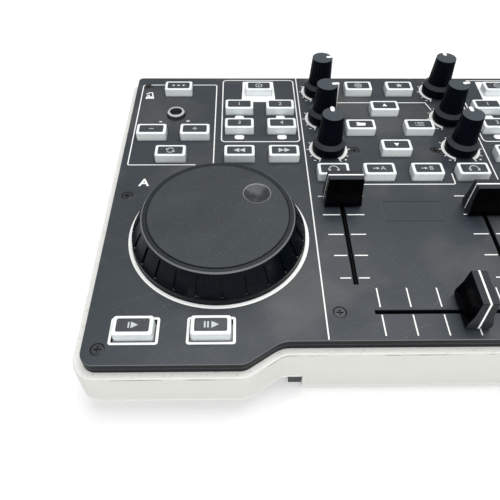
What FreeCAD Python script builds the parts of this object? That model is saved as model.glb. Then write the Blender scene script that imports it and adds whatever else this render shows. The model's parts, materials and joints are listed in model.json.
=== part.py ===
"""A table-top dj controller: two jog-wheel decks either side of a mixer section.

Millimetres. +Z is up, the origin is on the table under the middle of the case, +Y is the back.
The right deck mirrors the left one. Heights are counted from the table, and places along Y from
the jog wheels' axis, so that the case grows with the rows of controls that it holds.
"""
import FreeCAD, Part
import os
import re
import Sketcher

doc = FreeCAD.newDocument("dj_controller")
sizes = doc.addObject("Spreadsheet::Sheet", "sizes")

SIZES = {
    # case, seen from above
    "middle_half": 49.3,            # centre line to the deck's edge
    "jog_inner_gap": 5.2,           # deck's edge to the jog wheel
    "jog_outer_gap": 17.2,          # jog wheel to the case's side
    "back_margin": 15.9,            # back row of buttons to the case's back
    "front_margin": 18.4,           # cue row to the front of the case
    "middle_setback": 10.2,         # the front edge steps back this far between the decks
    "bend_inset": 12.6,             # jog axis to the bend where the front edge turns back
    "front_angle": 34.3,            # slant of the front edge between its two bends
    "front_corner_radius": 9.2,
    "back_corner_radius": 3.0,
    "lobe_bend_radius": 10.0,
    "middle_bend_radius": 8.0,
    "seam_reach": 9.7,              # how far the front fascia wraps round the sides
    # case, heights and walls
    "feet_height": 10.5,
    "case_height": 18.6,
    "case_wall": 2.2,
    "case_floor": 2.0,
    "case_rim_height": 2.0,         # ledge under the top plate's skirt
    "rim_reach": 0.5,               # ledge past the skirt's inner face
    "fascia_wall": 2.2,
    "fascia_lip": 1.0,              # thickness of the fascia's top edge
    "fascia_gap": 0.1,
    "fascia_drop": 8.9,             # the fascia's middle hangs below the case
    "fascia_drop_half": 58.0,
    "fascia_edge_radius": 0.6,
    # top plate
    "side_strip": 4.0,              # case rim left showing beside the plate
    "front_strip": 3.1,
    "back_strip": 0.4,
    "plate_height": 5.9,
    "plate_skin": 2.5,
    "plate_wall": 2.0,
    "plate_edge_radius": 0.45,
    "badge_width": 29.0,
    "badge_depth": 13.7,
    "badge_drop": 26.6,             # load row to the centre of the badge
    "badge_groove": 0.35,
    # rows, each counted as the gap between the keys or wheels of two neighbouring rows
    "transport_gap": 11.8,          # jog wheel to the transport keys
    "pitch_gap": 9.6,               # transport keys to the pitch keys
    "encoder_gap": 9.45,            # pitch keys to the encoder
    "lamps_gap": 10.4,              # transport keys to the lamps of the lower pads
    "pads_gap": 4.4,                # lower pads to the lamps of the upper pads
    "lamp_key_gap": 0.8,            # lamps to the pads behind them
    "back_row_gap": 10.0,           # upper pads to the back row
    "nav_drop": 38.8,               # back row to the folder row
    "nav_gap": 9.0,                 # between the keys of the browsing rows
    "load_gap": 10.3,               # lowest browsing key to the load keys
    "cue_gap": 7.8,                 # jog wheel to the cue row
    "volume_gap": 7.8,              # load keys to the volume slots
    "crossfader_gap": 5.2,          # volume slots to the crossfader's cap
    # columns, the deck's own counted from the jog axis
    "pitch_column": 27.1,
    "pitch_pair": 12.0,
    "pads_column": 21.5,
    "pads_pair": 11.9,
    "cue_column": 33.0,
    "play_column": 2.0,
    "middle_pair": 12.5,
    "nav_pair": 16.6,
    "knob_column": 36.4,
    "knob_pitch": 27.75,
    "volume_column": 34.4,
    # buttons
    "button_width": 16.4,
    "button_depth": 9.2,
    "button_rise": 4.5,             # above the plate
    "button_gap": 0.3,
    "deck_button_gap": 0.6,         # wider windows round cue and play
    "button_draft": 0.8,
    "button_corner_radius": 1.2,
    "button_edge_radius": 0.45,
    "button_flange": 1.1,
    "button_flange_height": 1.0,
    "button_flange_gap": 0.15,
    "button_stem_radius": 1.6,
    "button_stem_depth": 1.0,       # how far the stem stands in its switch
    # knobs
    "knob_height": 22.8,            # above the plate
    "knob_top_radius": 5.7,
    "knob_waist_radius": 6.65,
    "knob_waist_rise": 7.4,
    "knob_skirt_radius": 8.9,
    "knob_skirt_rise": 5.4,
    "knob_skirt_wall": 0.9,
    "knob_underside": 1.2,
    "knob_recess": 2.3,
    "flute_radius": 0.85,
    "flute_depth": 0.35,
    "flute_count": 16,
    "spindle_radius": 3.0,
    "spindle_reach": 7.0,           # spindle's foot below the plate's underside
    "running_gap": 0.05,
    "bush_radius": 3.8,
    "hole_gap": 0.4,
    # faders
    "cap_length": 18.0,
    "cap_top_length": 16.6,
    "cap_foot_half": 5.2,
    "cap_top_half": 3.25,
    "cap_underside": 1.0,
    "cap_lip": 3.8,
    "cap_rise": 17.0,
    "cap_waist_half": 3.7,
    "cap_waist_rise": 9.0,
    "cap_waist_radius": 12.0,
    "cap_edge_radius": 0.3,
    "lever_length": 3.2,
    "lever_width": 1.6,
    "lever_depth": 5.9,             # lever's foot below the plate's underside
    "slot_width": 2.3,
    "slot_end_gap": 0.85,
    "volume_travel": 54.0,
    "crossfader_travel": 52.5,
    "volume_a_rest": 22.65,         # centre of the slot to the cap as it stands
    "volume_b_rest": 16.1,
    "crossfader_rest": 11.7,
    # jog wheels
    "jog_flare": 5.4,               # the wheel's foot past its rim
    "jog_underside": 0.6,
    "jog_band_rise": 3.2,
    "jog_rim_width": 2.4,
    "jog_rim_rise": 14.5,
    "jog_rim_chamfer": 0.6,
    "jog_recess": 2.0,
    "jog_web": 2.5,
    "jog_wall": 2.0,
    "jog_groove": 0.3,              # shows round the top disc
    "jog_disc_radius": 31.9,
    "jog_disc_proud": 0.25,
    "jog_slot_length": 10.0,
    "jog_slot_width": 1.7,
    "jog_slot_depth": 0.7,
    "jog_slot_count": 24,
    "dimple_radius": 6.7,
    "dimple_depth": 1.3,
    "dimple_edge": 3.6,             # dimple to the disc's edge
    "jog_hub_radius": 6.5,
    "jog_shaft_radius": 4.0,
    "jog_shaft_foot": 1.5,          # above the case floor
    "jog_post_radius": 7.0,
    "jog_post_gap": 0.3,
    "jog_post_drop": 1.0,           # post's top below the plate's face
    # pitch encoders, with the caps taken off
    "rotor_radius": 4.95,
    "rotor_rise": 2.6,
    "rotor_foot": 2.1,              # collar's foot below the plate's underside
    "rotor_bore_radius": 3.6,
    "rotor_bore_depth": 3.7,
    "rotor_chamfer": 0.5,
    # boards and what is soldered on them
    "board_thickness": 1.6,
    "board_drop": 8.9,              # plate's underside to the board's face
    "board_side_inset": 13.0,
    "board_back_inset": 5.0,
    "board_front_inset": 11.2,
    "board_hole_gap": 0.9,
    "switch_size": 6.0,
    "switch_height": 3.5,
    "switch_bore_depth": 2.3,
    "pot_width": 9.5,
    "pot_depth": 11.0,
    "pot_height": 6.8,
    "bush_height": 2.9,
    "encoder_size": 12.0,
    "encoder_height": 5.8,
    "slider_width": 9.0,
    "slider_end": 7.0,              # slide potentiometer past its lever's slot
    "slider_height": 7.2,
    "slider_slot_depth": 5.0,
    "chip_size": 12.0,
    "chip_height": 1.5,
    "chip_drop": 20.0,              # load row to the chips
    "capacitor_radius": 3.0,
    "capacitor_height": 6.5,
    "led_width": 5.2,
    "led_depth": 3.8,
    "led_corner_radius": 1.5,
    "led_gap": 0.1,
    "led_proud": 0.1,
    # usb socket at the back, on a board of its own
    "usb_column": 2.5,
    "usb_width": 12.0,
    "usb_height": 11.0,
    "usb_length": 16.0,
    "usb_gap": 0.2,
    "usb_recess": 0.3,
    "usb_mouth_width": 8.6,
    "usb_mouth_height": 7.8,
    "usb_mouth_bevel": 1.6,
    "usb_mouth_depth": 13.0,
    "usb_tongue_width": 5.6,
    "usb_tongue_height": 3.2,
    "usb_tongue_reach": 8.6,
    "usb_board_rise": 1.5,
    "usb_board_width": 36.0,
    "usb_board_depth": 30.0,
    "usb_board_inset": 3.0,
    "usb_board_notch": 3.0,
    # posts, screws and feet
    "side_screw_column": 46.5,
    "front_screw_rise": 10.2,       # front corner screws above the front of the case
    "side_screw_rise": 26.6,
    "back_screw_inset": 10.2,
    "front_middle_screw": 43.3,
    "back_middle_screw": 22.3,
    "back_middle_screw_rise": 61.8,
    "screw_post_radius": 3.5,
    "screw_head_radius": 2.75,
    "screw_head_height": 1.7,
    "screw_sink": 0.2,              # head below the plate's face
    "screw_shank_radius": 1.3,
    "screw_length": 11.0,
    "screw_slot_length": 2.9,
    "screw_slot_width": 0.6,
    "screw_slot_depth": 1.0,
    "board_post_radius": 3.0,
    "board_post_side": 30.0,
    "board_post_inner": 40.0,
    "board_post_gap": 0.8,          # encoders to the posts behind them
    "board_post_front": 36.0,
    "foot_width": 18.0,
    "foot_depth": 12.0,
    "foot_draft": 1.5,
    "foot_gap": 0.2,
    "front_foot_column": 54.8,
    "back_foot_column": 30.5,
    "back_foot_inset": 14.0,
    # how the turning pieces stand, in degrees anticlockwise from their drawn place
    "treble_a_angle": 12.0,
    "medium_a_angle": 8.0,
    "bass_a_angle": 90.0,
    "treble_b_angle": 90.0,
    "medium_b_angle": 18.0,
    "bass_b_angle": 90.0,
    "dimple_angle": 35.0,
    "jog_angle": 3.0,
    "quarter_turn": 90.0,
    "cut_margin": 1.0,              # how far a cutting outline runs past what it cuts
}

for row, (alias, number) in enumerate(SIZES.items(), start=1):
    sizes.set(f"A{row}", alias)
    sizes.set(f"B{row}", str(number))
    sizes.setAlias(f"B{row}", alias)
doc.recompute()

# Places and heights that several pieces share, as formulas over the sheet.
JOG_RIM = "(jog_disc_radius + jog_groove + jog_rim_width)"
JOG_RADIUS = f"({JOG_RIM} + jog_flare)"
DECK_X = f"(middle_half + jog_inner_gap + {JOG_RADIUS})"
HALF_WIDTH = f"({DECK_X} + {JOG_RADIUS} + jog_outer_gap)"
CUE_DROP = f"({JOG_RADIUS} + cue_gap + button_depth / 2)"
TRANSPORT_RISE = f"({JOG_RADIUS} + transport_gap + button_depth / 2)"
PITCH_RISE = f"({TRANSPORT_RISE} + button_depth + pitch_gap)"
ENCODER_RISE = f"({PITCH_RISE} + button_depth / 2 + encoder_gap + rotor_radius)"
LAMP_DROP = "(button_depth / 2 + lamp_key_gap + led_depth / 2)"
PADS_LOWER_RISE = f"({TRANSPORT_RISE} + button_depth / 2 + lamps_gap + led_depth / 2 + {LAMP_DROP})"
PADS_UPPER_RISE = f"({PADS_LOWER_RISE} + button_depth / 2 + pads_gap + led_depth / 2 + {LAMP_DROP})"
BACK_ROW_RISE = f"({PADS_UPPER_RISE} + button_depth + back_row_gap)"
NAV_RISE = f"({BACK_ROW_RISE} - nav_drop)"
NAV_PITCH = "(button_depth + nav_gap)"
LOAD_RISE = f"({NAV_RISE} - {NAV_PITCH} - button_depth - load_gap)"
BACK = f"(({BACK_ROW_RISE} + back_margin + {CUE_DROP} + front_margin) / 2)"
JOG_Y = f"({BACK} - {BACK_ROW_RISE} - back_margin)"
SEAM_Y = f"(seam_reach - {BACK})"
CASE_TOP = "(feet_height + case_height)"
FLOOR_TOP = "(feet_height + case_floor)"
PLATE_TOP = f"({CASE_TOP} + plate_height)"
PLATE_UNDER = f"({PLATE_TOP} - plate_skin)"
BOARD_TOP = f"({PLATE_UNDER} - board_drop)"
BOARD_UNDER = f"({BOARD_TOP} - board_thickness)"
USB_BOARD_TOP = f"({FLOOR_TOP} + usb_board_rise + board_thickness)"
FASCIA_STEP = "(fascia_wall + fascia_gap)"
LEDGE = "plate_wall + rim_reach"
LIP_SIDE = "side_strip + plate_wall / 2"
LIP_FRONT = "front_strip + plate_wall / 2"
LIP_END = f"(middle_setback + front_strip + {LEDGE} - {BACK})"
COUNTERSINK = "(screw_head_height + screw_sink)"
TOUCH = 1e-4                        # closer than this, two places are one


def tied(formula):
    """A formula with the sheet's name before each of its sizes."""
    return re.sub(r"\b[a-z]+(?:_[a-z]+)+\b", lambda name: "sizes." + name.group(), str(formula))


def value(formula):
    """What a formula comes to now."""
    return float(sizes.evalExpression(tied(formula)))


def tie(thing, setting, formula):
    thing.setExpression(setting, tied(formula))


def new_body(label):
    body = doc.addObject("PartDesign::Body", label)
    body.Label = label
    return body


def origin_feature(body, role):
    return next(feature for feature in body.Origin.OriginFeatures if feature.Role == role)


def new_sketch(body, offset="0", role="XY_Plane"):
    """A sketch on one of the body's own planes, moved along the plane's normal by a formula."""
    sketch = body.newObject("Sketcher::SketchObject", "outline")
    sketch.AttachmentSupport = [(origin_feature(body, role), "")]
    sketch.MapMode = "FlatFace"
    tie(sketch, "AttachmentOffset.Base.z", offset)
    return sketch


def hold(sketch, places, radii=()):
    """Holds points, and the radii of circles, at what their formulas give."""
    constraints, formulas = [], []
    for element, point, *place in places:
        for kind, formula, axis in zip(("DistanceX", "DistanceY"), place, (-2, -1)):
            if str(formula) == "0":
                constraints.append(Sketcher.Constraint("PointOnObject", element, point, axis))
            else:
                constraints.append(
                    Sketcher.Constraint(kind, -1, 1, element, point, value(formula)))
            formulas.append(formula)
    for element, radius in radii:
        constraints.append(Sketcher.Constraint("Radius", element, value(radius)))
        formulas.append(radius)
    numbers = sketch.addConstraint(constraints)
    for number, formula in zip(numbers, formulas):
        if str(formula) != "0":
            tie(sketch, f"Constraints[{number}]", formula)


def draw_outline(sketch, corners):
    """A closed outline of straight lines through corners, each a pair of formulas."""
    first = sketch.GeometryCount
    places = [FreeCAD.Vector(value(x), value(y), 0) for x, y in corners]
    count = len(places)
    following = [(index + 1) % count for index in range(count)]
    sketch.addGeometry([Part.LineSegment(places[index], places[after])
                        for index, after in enumerate(following)], False)
    sketch.addConstraint([Sketcher.Constraint("Coincident", first + index, 2, first + after, 1)
                          for index, after in enumerate(following)])
    hold(sketch, [(first + index, 1, x, y) for index, (x, y) in enumerate(corners)])


def rectangle(x, y, width, depth):
    """The corners of a rectangle about a middle."""
    return [(f"{x} + {side} * ({width}) / 2", f"{y} + {end} * ({depth}) / 2")
            for side, end in ((-1, -1), (1, -1), (1, 1), (-1, 1))]


def draw_circles(sketch, places, radius):
    circles = sketch.addGeometry([Part.Circle(
        FreeCAD.Vector(value(x), value(y), 0), FreeCAD.Vector(0, 0, 1), value(radius))
        for x, y in places], False)
    hold(sketch, [(circle, 3, x, y) for circle, (x, y) in zip(circles, places)],
         [(circle, radius) for circle in circles])


def draw_circle(sketch, radius):
    draw_circles(sketch, [("0", "0")], radius)


def draw_stadium(sketch, length, width):
    """A slot's outline along X about the origin, its ends round."""
    reach, radius = f"({length} - {width}) / 2", f"{width} / 2"
    x, r = value(reach), value(radius)
    corners = [FreeCAD.Vector(*place) for place in ((-x, -r), (x, -r), (x, r), (-x, r))]
    tips = [FreeCAD.Vector(x + r, 0), FreeCAD.Vector(-x - r, 0)]
    lower, right, upper, left = sketch.addGeometry([
        Part.LineSegment(corners[0], corners[1]), Part.Arc(corners[1], tips[0], corners[2]),
        Part.LineSegment(corners[2], corners[3]), Part.Arc(corners[3], tips[1], corners[0])], False)
    sketch.addConstraint([Sketcher.Constraint("Coincident", element, 2, after, 1) for element, after
                          in ((lower, right), (right, upper), (upper, left), (left, lower))])
    hold(sketch, [(lower, 1, f"-{reach}", f"-{radius}"), (lower, 2, reach, f"-{radius}"),
                  (upper, 1, reach, radius), (upper, 2, f"-{reach}", radius),
                  (right, 3, reach), (left, 3, f"-{reach}")])


def compute(*things):
    """Computes new objects alone, as the whole document's turn comes at the end."""
    for thing in things:
        thing.recompute()


def pad(body, sketch, length, downward=False, draft=None, both_ways=False):
    """Adds the sketch's area, swept along its normal."""
    feature = body.newObject("PartDesign::Pad", "pad")
    feature.Profile = sketch
    feature.Reversed = downward
    if both_ways:
        feature.SideType = "Symmetric"
    tie(feature, "Length", length)
    if draft is not None:
        tie(feature, "TaperAngle", draft)
    compute(sketch, feature)


def pocket(body, sketch, depth, upward=False, both_ways=False):
    """Cuts the sketch's area out, against its normal unless upward, and proves that it cut."""
    before = body.Tip.Shape.Volume
    feature = body.newObject("PartDesign::Pocket", "pocket")
    feature.Profile = sketch
    feature.Reversed = upward
    if both_ways:
        feature.SideType = "Symmetric"
    tie(feature, "Length", depth)
    compute(sketch, feature)
    if not feature.Shape.Volume < before:
        raise ValueError(f"a pocket in {body.Label} cuts nothing")
    return feature


def turned(body, corners):
    """Turns a half profile, given as radii and heights, about the body's upright axis."""
    profile = new_sketch(body, "0", "XZ_Plane")
    draw_outline(profile, corners)
    feature = body.newObject("PartDesign::Revolution", "turned")
    feature.Profile = profile
    feature.ReferenceAxis = (profile, ["V_Axis"])
    feature.Angle = 360
    compute(profile, feature)


def upright_edges(body, corners):
    """Names of the straight upright edges that stand at the corners."""
    places = [(value(x), value(y)) for x, y in corners]
    names = []
    for number, edge in enumerate(body.Tip.Shape.Edges, start=1):
        start, end = edge.Vertexes[0].Point, edge.Vertexes[-1].Point
        level = abs(start.z - end.z) < TOUCH
        upright = abs(start.x - end.x) + abs(start.y - end.y) < TOUCH
        if upright and not level and any(
                abs(start.x - x) + abs(start.y - y) < TOUCH for x, y in places):
            names.append(f"Edge{number}")
    return names


def level_edges(body, height, keep=lambda edge: True):
    """Names of the edges that lie wholly at one height."""
    level = value(height)
    return [f"Edge{number}" for number, edge in enumerate(body.Tip.Shape.Edges, start=1)
            if abs(edge.BoundBox.ZMin - level) + abs(edge.BoundBox.ZMax - level) < TOUCH
            and keep(edge)]


def wall_rims(body, height, depth, keep):
    """Names of the edges at one height where a wall at least as deep as that ends."""
    walls = [face for face in body.Tip.Shape.Faces if face.BoundBox.ZLength > value(depth) - TOUCH]
    rims = [edge for wall in walls for edge in wall.Edges]
    return level_edges(body, height, lambda edge: keep(edge.BoundBox) and any(
        edge.isSame(rim) for rim in rims))


def round_edges(body, names, radius):
    """Rounds named edges of the body's last feature."""
    base = body.Tip
    feature = body.newObject("PartDesign::Fillet", "fillet")
    feature.Base = (base, names)
    tie(feature, "Radius", radius)
    compute(feature)


def leaning_sketch(body, radius, height, angle):
    """A sketch tipped about the Y axis, its middle at a radius and a height."""
    sketch = new_sketch(body, height)
    tie(sketch, "AttachmentOffset.Base.x", radius)
    sketch.AttachmentOffset = FreeCAD.Placement(
        FreeCAD.Vector(), FreeCAD.Rotation(FreeCAD.Vector(0, 1, 0), 1))
    tie(sketch, "AttachmentOffset.Rotation.Angle", angle)
    return sketch


def repeat_round(body, feature, count):
    """Repeats a feature evenly about the body's upright axis."""
    pattern = body.newObject("PartDesign::PolarPattern", "pattern")
    pattern.Originals = [feature]
    pattern.Axis = (origin_feature(body, "Z_Axis"), [""])
    tie(pattern, "Occurrences", count)
    body.Tip = pattern
    compute(pattern)


def group(label, pieces):
    """Several solids kept as one piece."""
    compound = doc.addObject("Part::Compound", label)
    compound.Label = label
    compound.Links = pieces
    return compound


def copy_to(label, pattern, x, y, z="0", angle="0"):
    """A copy of a piece that is drawn about the origin, turned and stood at its place."""
    copy = group(label, [pattern])
    copy.Placement = FreeCAD.Placement(FreeCAD.Vector(), FreeCAD.Rotation(FreeCAD.Vector(0, 0, 1), 1))
    tie(copy, "Placement.Rotation.Angle", angle)
    for axis, formula in (("x", x), ("y", y), ("z", z)):
        tie(copy, f"Placement.Base.{axis}", formula)
    return copy


def copies(pattern, places, angle="0"):
    return [copy_to("copy", pattern, x, y, angle=angle) for x, y in places]


def block(width, depth, height, z):
    """A box about the upright axis that stands at a height."""
    box = doc.addObject("Part::Box", "block")
    for setting, formula in (("Length", width), ("Width", depth), ("Height", height),
                             ("Placement.Base.x", f"-({width}) / 2"),
                             ("Placement.Base.y", f"-({depth}) / 2"), ("Placement.Base.z", z)):
        tie(box, setting, formula)
    return box


def rod(radius, height, z):
    """A cylinder about the upright axis that stands at a height."""
    cylinder = doc.addObject("Part::Cylinder", "rod")
    for setting, formula in (("Radius", radius), ("Height", height), ("Placement.Base.z", z)):
        tie(cylinder, setting, formula)
    return cylinder


def joined(pieces, label="joined"):
    fusion = doc.addObject("Part::MultiFuse", label)
    fusion.Label = label
    fusion.Shapes = pieces
    return fusion


def without(piece, tools, label="cut"):
    """A piece less its tools."""
    cut = doc.addObject("Part::Cut", label)
    cut.Label = label
    cut.Base = piece
    cut.Tool = group("tools", tools)
    return cut


def bend_column(offset, setback):
    """Where the front edge bends, at the deck or, past the slant, at the middle."""
    slant = f"{setback} / tan(front_angle)"
    return f"({DECK_X} - bend_inset - {slant} + tan(front_angle / 2) * ({offset}))"


def front_corners(offset):
    """The front edge's corners from right to left, moved into the case by offset."""
    right = [(bend_column(offset, "0"), f"{offset} - {BACK}"),
             (bend_column(offset, "middle_setback"), f"{offset} + middle_setback - {BACK}")]
    left = [(f"-{x}", y) for x, y in reversed(right)]
    return right + left


def case_outline(side, back, front):
    """The case's outline from above, moved in by a gap of its own at sides, back and front."""
    x = f"({HALF_WIDTH} - ({side}))"
    return [(x, f"{BACK} - ({back})"), (x, f"{front} - {BACK}"), *front_corners(front),
            (f"-{x}", f"{front} - {BACK}"), (f"-{x}", f"{BACK} - ({back})")]


def front_outline(side, front, reach):
    """The case's outline in front of a line across it."""
    x = f"({HALF_WIDTH} - ({side}))"
    return [*case_outline(side, "0", front)[1:-1], (f"-{x}", reach), (x, reach)]


def lip_outline():
    """The outline of the fascia's top from above: up to the seams, and further between them."""
    x = f"({HALF_WIDTH} - ({LIP_SIDE}))"
    return [*front_outline("0", "0", SEAM_Y)[:-1], (f"-{x}", SEAM_Y), (f"-{x}", LIP_END),
            (x, LIP_END), (x, SEAM_Y), (HALF_WIDTH, SEAM_Y)]


def round_front(body, side, front):
    """Rounds an outline's front corners and bends, kept parallel at each offset."""
    corner, first, second, third, fourth, last = case_outline(side, "0", front)[1:-1]
    for corners, radius in (((corner, last), f"front_corner_radius - ({front})"),
                            ((first, fourth), f"lobe_bend_radius - ({front})"),
                            ((second, third), f"middle_bend_radius + ({front})")):
        round_edges(body, upright_edges(body, corners), radius)


def round_back(body, side, back, radius):
    outline = case_outline(side, back, "0")
    round_edges(body, upright_edges(body, (outline[0], outline[-1])), radius)


def both_sides(places):
    """Each place on the left deck and its mirror image on the right one."""
    return [(f"{sign}{x}", y) for sign in ("-", "") for x, y in places]


VOLUME_SLOT = "(volume_travel + lever_length + 2 * slot_end_gap)"
CROSSFADER_SLOT = "(crossfader_travel + lever_length + 2 * slot_end_gap)"

# Places of the controls on one deck, as distances from the centre line and along Y.
PITCH_X = f"({DECK_X} + pitch_column)"
PADS_X = f"({DECK_X} - pads_column)"
ROW = {name: f"({JOG_Y} + {rise})" for name, rise in (
    ("back", BACK_ROW_RISE), ("pads_upper", PADS_UPPER_RISE), ("pads_lower", PADS_LOWER_RISE),
    ("pitch", PITCH_RISE), ("transport", TRANSPORT_RISE), ("encoder", ENCODER_RISE),
    ("nav", NAV_RISE), ("load", LOAD_RISE))}
ROW["cue"] = f"({JOG_Y} - {CUE_DROP})"
VOLUME_Y = f"({ROW['load']} - button_depth / 2 - volume_gap - {VOLUME_SLOT} / 2)"
ROW["crossfader"] = f"({VOLUME_Y} - {VOLUME_SLOT} / 2 - crossfader_gap - cap_length / 2)"
DECK_BUTTONS = {
    "pitch_reset": (PITCH_X, ROW["back"]),
    "pitch_minus": (f"({PITCH_X} + pitch_pair)", ROW["pitch"]),
    "pitch_plus": (f"({PITCH_X} - pitch_pair)", ROW["pitch"]),
    "sync": (PITCH_X, ROW["transport"]),
    "source": (PADS_X, ROW["back"]),
    "pad_1": (f"({PADS_X} + pads_pair)", ROW["pads_upper"]),
    "pad_2": (f"({PADS_X} - pads_pair)", ROW["pads_upper"]),
    "pad_3": (f"({PADS_X} + pads_pair)", ROW["pads_lower"]),
    "pad_4": (f"({PADS_X} - pads_pair)", ROW["pads_lower"]),
    "rewind": (f"({PADS_X} + pads_pair)", ROW["transport"]),
    "forward": (f"({PADS_X} - pads_pair)", ROW["transport"]),
    "cue": (f"({DECK_X} + cue_column)", ROW["cue"]),
    "play": (f"({DECK_X} + play_column)", ROW["cue"]),
}
# On the mirrored deck these pairs swap, so that both decks read from left to right.
SWAPPED = {"pitch_minus": "pitch_plus", "pad_1": "pad_2", "pad_3": "pad_4", "rewind": "forward"}
SWAPPED.update({second: first for first, second in list(SWAPPED.items())})
MIDDLE_BUTTONS = {
    "vinyl": ("-middle_pair", ROW["back"]),
    "magic": ("middle_pair", ROW["back"]),
    "up": ("0", f"({ROW['nav']} + {NAV_PITCH})"),
    "folder": ("-nav_pair", ROW["nav"]),
    "files": ("nav_pair", ROW["nav"]),
    "down": ("0", f"({ROW['nav']} - {NAV_PITCH})"),
    "headphones_a": ("-knob_column", ROW["load"]),
    "load_a": ("-middle_pair", ROW["load"]),
    "load_b": ("middle_pair", ROW["load"]),
    "headphones_b": ("knob_column", ROW["load"]),
}
WIDE_KEYS = both_sides([DECK_BUTTONS[name] for name in ("cue", "play")])
NARROW_KEYS = both_sides([place for name, place in DECK_BUTTONS.items()
                          if name not in ("cue", "play")]) + list(MIDDLE_BUTTONS.values())
KNOB_ROWS = {"treble": ROW["back"], "medium": f"({ROW['back']} - knob_pitch)",
             "bass": f"({ROW['back']} - 2 * knob_pitch)"}
KNOB_PLACES = both_sides([("knob_column", y) for y in KNOB_ROWS.values()])
ENCODER_PLACES = both_sides([(PITCH_X, ROW["encoder"])])
JOG_PLACES = both_sides([(DECK_X, JOG_Y)])
VOLUME_PLACES = both_sides([("volume_column", VOLUME_Y)])
CROSSFADER_PLACES = [("0", ROW["crossfader"])]
LED_PLACES = both_sides([(f"({PADS_X} {sign} pads_pair)", f"({ROW[row]} - {LAMP_DROP})")
                         for row in ("pads_upper", "pads_lower") for sign in "+-"])
CHIP_PLACES = both_sides([(f"({DECK_X} - board_post_inner)", f"({ROW['load']} - chip_drop)")])
CAPACITOR_PLACES = [(x, f"({y} + chip_size)") for x, y in CHIP_PLACES]
MIDDLE_SCREWS = both_sides([
    ("front_middle_screw", ROW["crossfader"]),
    ("back_middle_screw", f"({JOG_Y} + back_middle_screw_rise)")])
SIDE_SCREWS = both_sides([
    (f"({DECK_X} + side_screw_column)", f"(front_screw_rise - {BACK})"),
    (f"({DECK_X} + side_screw_column)", f"({JOG_Y} + side_screw_rise)"),
    (f"({DECK_X} + side_screw_column)", f"({BACK} - back_screw_inset)")])
SCREW_PLACES = SIDE_SCREWS + MIDDLE_SCREWS
BOARD_POST_ROWS = (f"({ROW['encoder']} + encoder_size / 2 + board_post_gap + board_post_radius)",
                   f"({JOG_Y} - board_post_front)")
BOARD_POST_PLACES = both_sides([(f"({DECK_X} {column})", y) for y in BOARD_POST_ROWS
                                for column in ("+ board_post_side", "- board_post_inner")])
FOOT_PLACES = both_sides([
    ("front_foot_column", f"(middle_setback + {FASCIA_STEP} + foot_gap + foot_depth / 2 - {BACK})"),
    (f"({DECK_X} + back_foot_column)", f"({BACK} - back_foot_inset - foot_depth / 2)")])
USB_X = f"({DECK_X} + usb_column)"
USB_Y = f"({BACK} - usb_recess)"
USB_Z = f"({USB_BOARD_TOP} + usb_height / 2)"


def slots(width, height, z, past="0"):
    """Tools for the two volume slots and the crossfader's, lengthened past each end."""
    upright = block(width, f"{VOLUME_SLOT} + 2 * {past}", height, z)
    level = block(f"{CROSSFADER_SLOT} + 2 * {past}", width, height, z)
    return copies(upright, VOLUME_PLACES) + copies(level, CROSSFADER_PLACES)


def make_bottom_case():
    """White tray: floor, walls, a ledge for the plate, and posts for screws, board and jogs."""
    body = new_body("case_shell")

    def outline(inset):
        """Full width behind the seam, stepped in under the fascia in front of it."""
        corners = case_outline(f"{FASCIA_STEP} + {inset}", inset, f"{FASCIA_STEP} + {inset}")
        side = f"({HALF_WIDTH} - {inset})"
        inner = f"({side} - {FASCIA_STEP})"
        seam = f"{SEAM_Y} + {inset}"
        back = f"{BACK} - {inset}"
        return [(side, back), (side, seam), (inner, seam), *corners[1:-1],
                (f"-{inner}", seam), (f"-{side}", seam), (f"-{side}", back)]

    shell = new_sketch(body, "feet_height")
    draw_outline(shell, outline("0"))
    pad(body, shell, "case_height")
    cavity = new_sketch(body, FLOOR_TOP)
    draw_outline(cavity, outline("case_wall"))
    pocket(body, cavity, "case_height - case_floor - case_rim_height", upward=True)
    round_front(body, f"{FASCIA_STEP} + case_wall", f"{FASCIA_STEP} + case_wall")
    side, back, front = (f"{strip} + {LEDGE}" for strip in ("side_strip", "back_strip", "front_strip"))
    opening = new_sketch(body, CASE_TOP)
    draw_outline(opening, case_outline(side, back, front))
    pocket(body, opening, "case_rim_height")
    round_front(body, side, front)
    round_front(body, FASCIA_STEP, FASCIA_STEP)
    round_back(body, "0", "0", "back_corner_radius")
    seam = value(SEAM_Y) + TOUCH
    round_edges(body, wall_rims(body, CASE_TOP, "case_height", lambda box: box.YMax > seam),
                "fascia_edge_radius")
    lip = new_sketch(body, CASE_TOP)
    draw_outline(lip, lip_outline())
    pocket(body, lip, "fascia_lip")
    port = new_sketch(body, f"-{BACK}", "XZ_Plane")
    draw_outline(port, rectangle(USB_X, USB_Z, "usb_width + 2 * usb_gap",
                                 "usb_height + 2 * usb_gap"))
    pocket(body, port, "case_wall", upward=True)
    root = f"({FLOOR_TOP} - case_floor / 2)"
    jog_post_top = f"{PLATE_TOP} - jog_post_drop"
    posts = [
        *copies(rod("screw_post_radius", f"{PLATE_UNDER} - {root}", root), SCREW_PLACES),
        *copies(rod("board_post_radius", f"{BOARD_UNDER} - {root}", root), BOARD_POST_PLACES),
        *copies(rod("jog_post_radius", f"{jog_post_top} - {root}", root), JOG_PLACES),
        *copies(rod("board_post_radius", f"{FLOOR_TOP} + usb_board_rise - {root}", root),
                [(f"({USB_X} {sign} usb_board_width / 3)",
                  f"({BACK} - case_wall - usb_board_inset - usb_board_depth / 2)") for sign in "+-"])]
    bores = [
        *copies(rod("screw_shank_radius + running_gap", "screw_length", f"{PLATE_UNDER} - screw_length"),
                SCREW_PLACES),
        *copies(rod("jog_shaft_radius + running_gap", f"{jog_post_top} - {FLOOR_TOP}", FLOOR_TOP),
                JOG_PLACES)]
    without(joined([body, *posts]), bores, "bottom_case")


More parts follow.
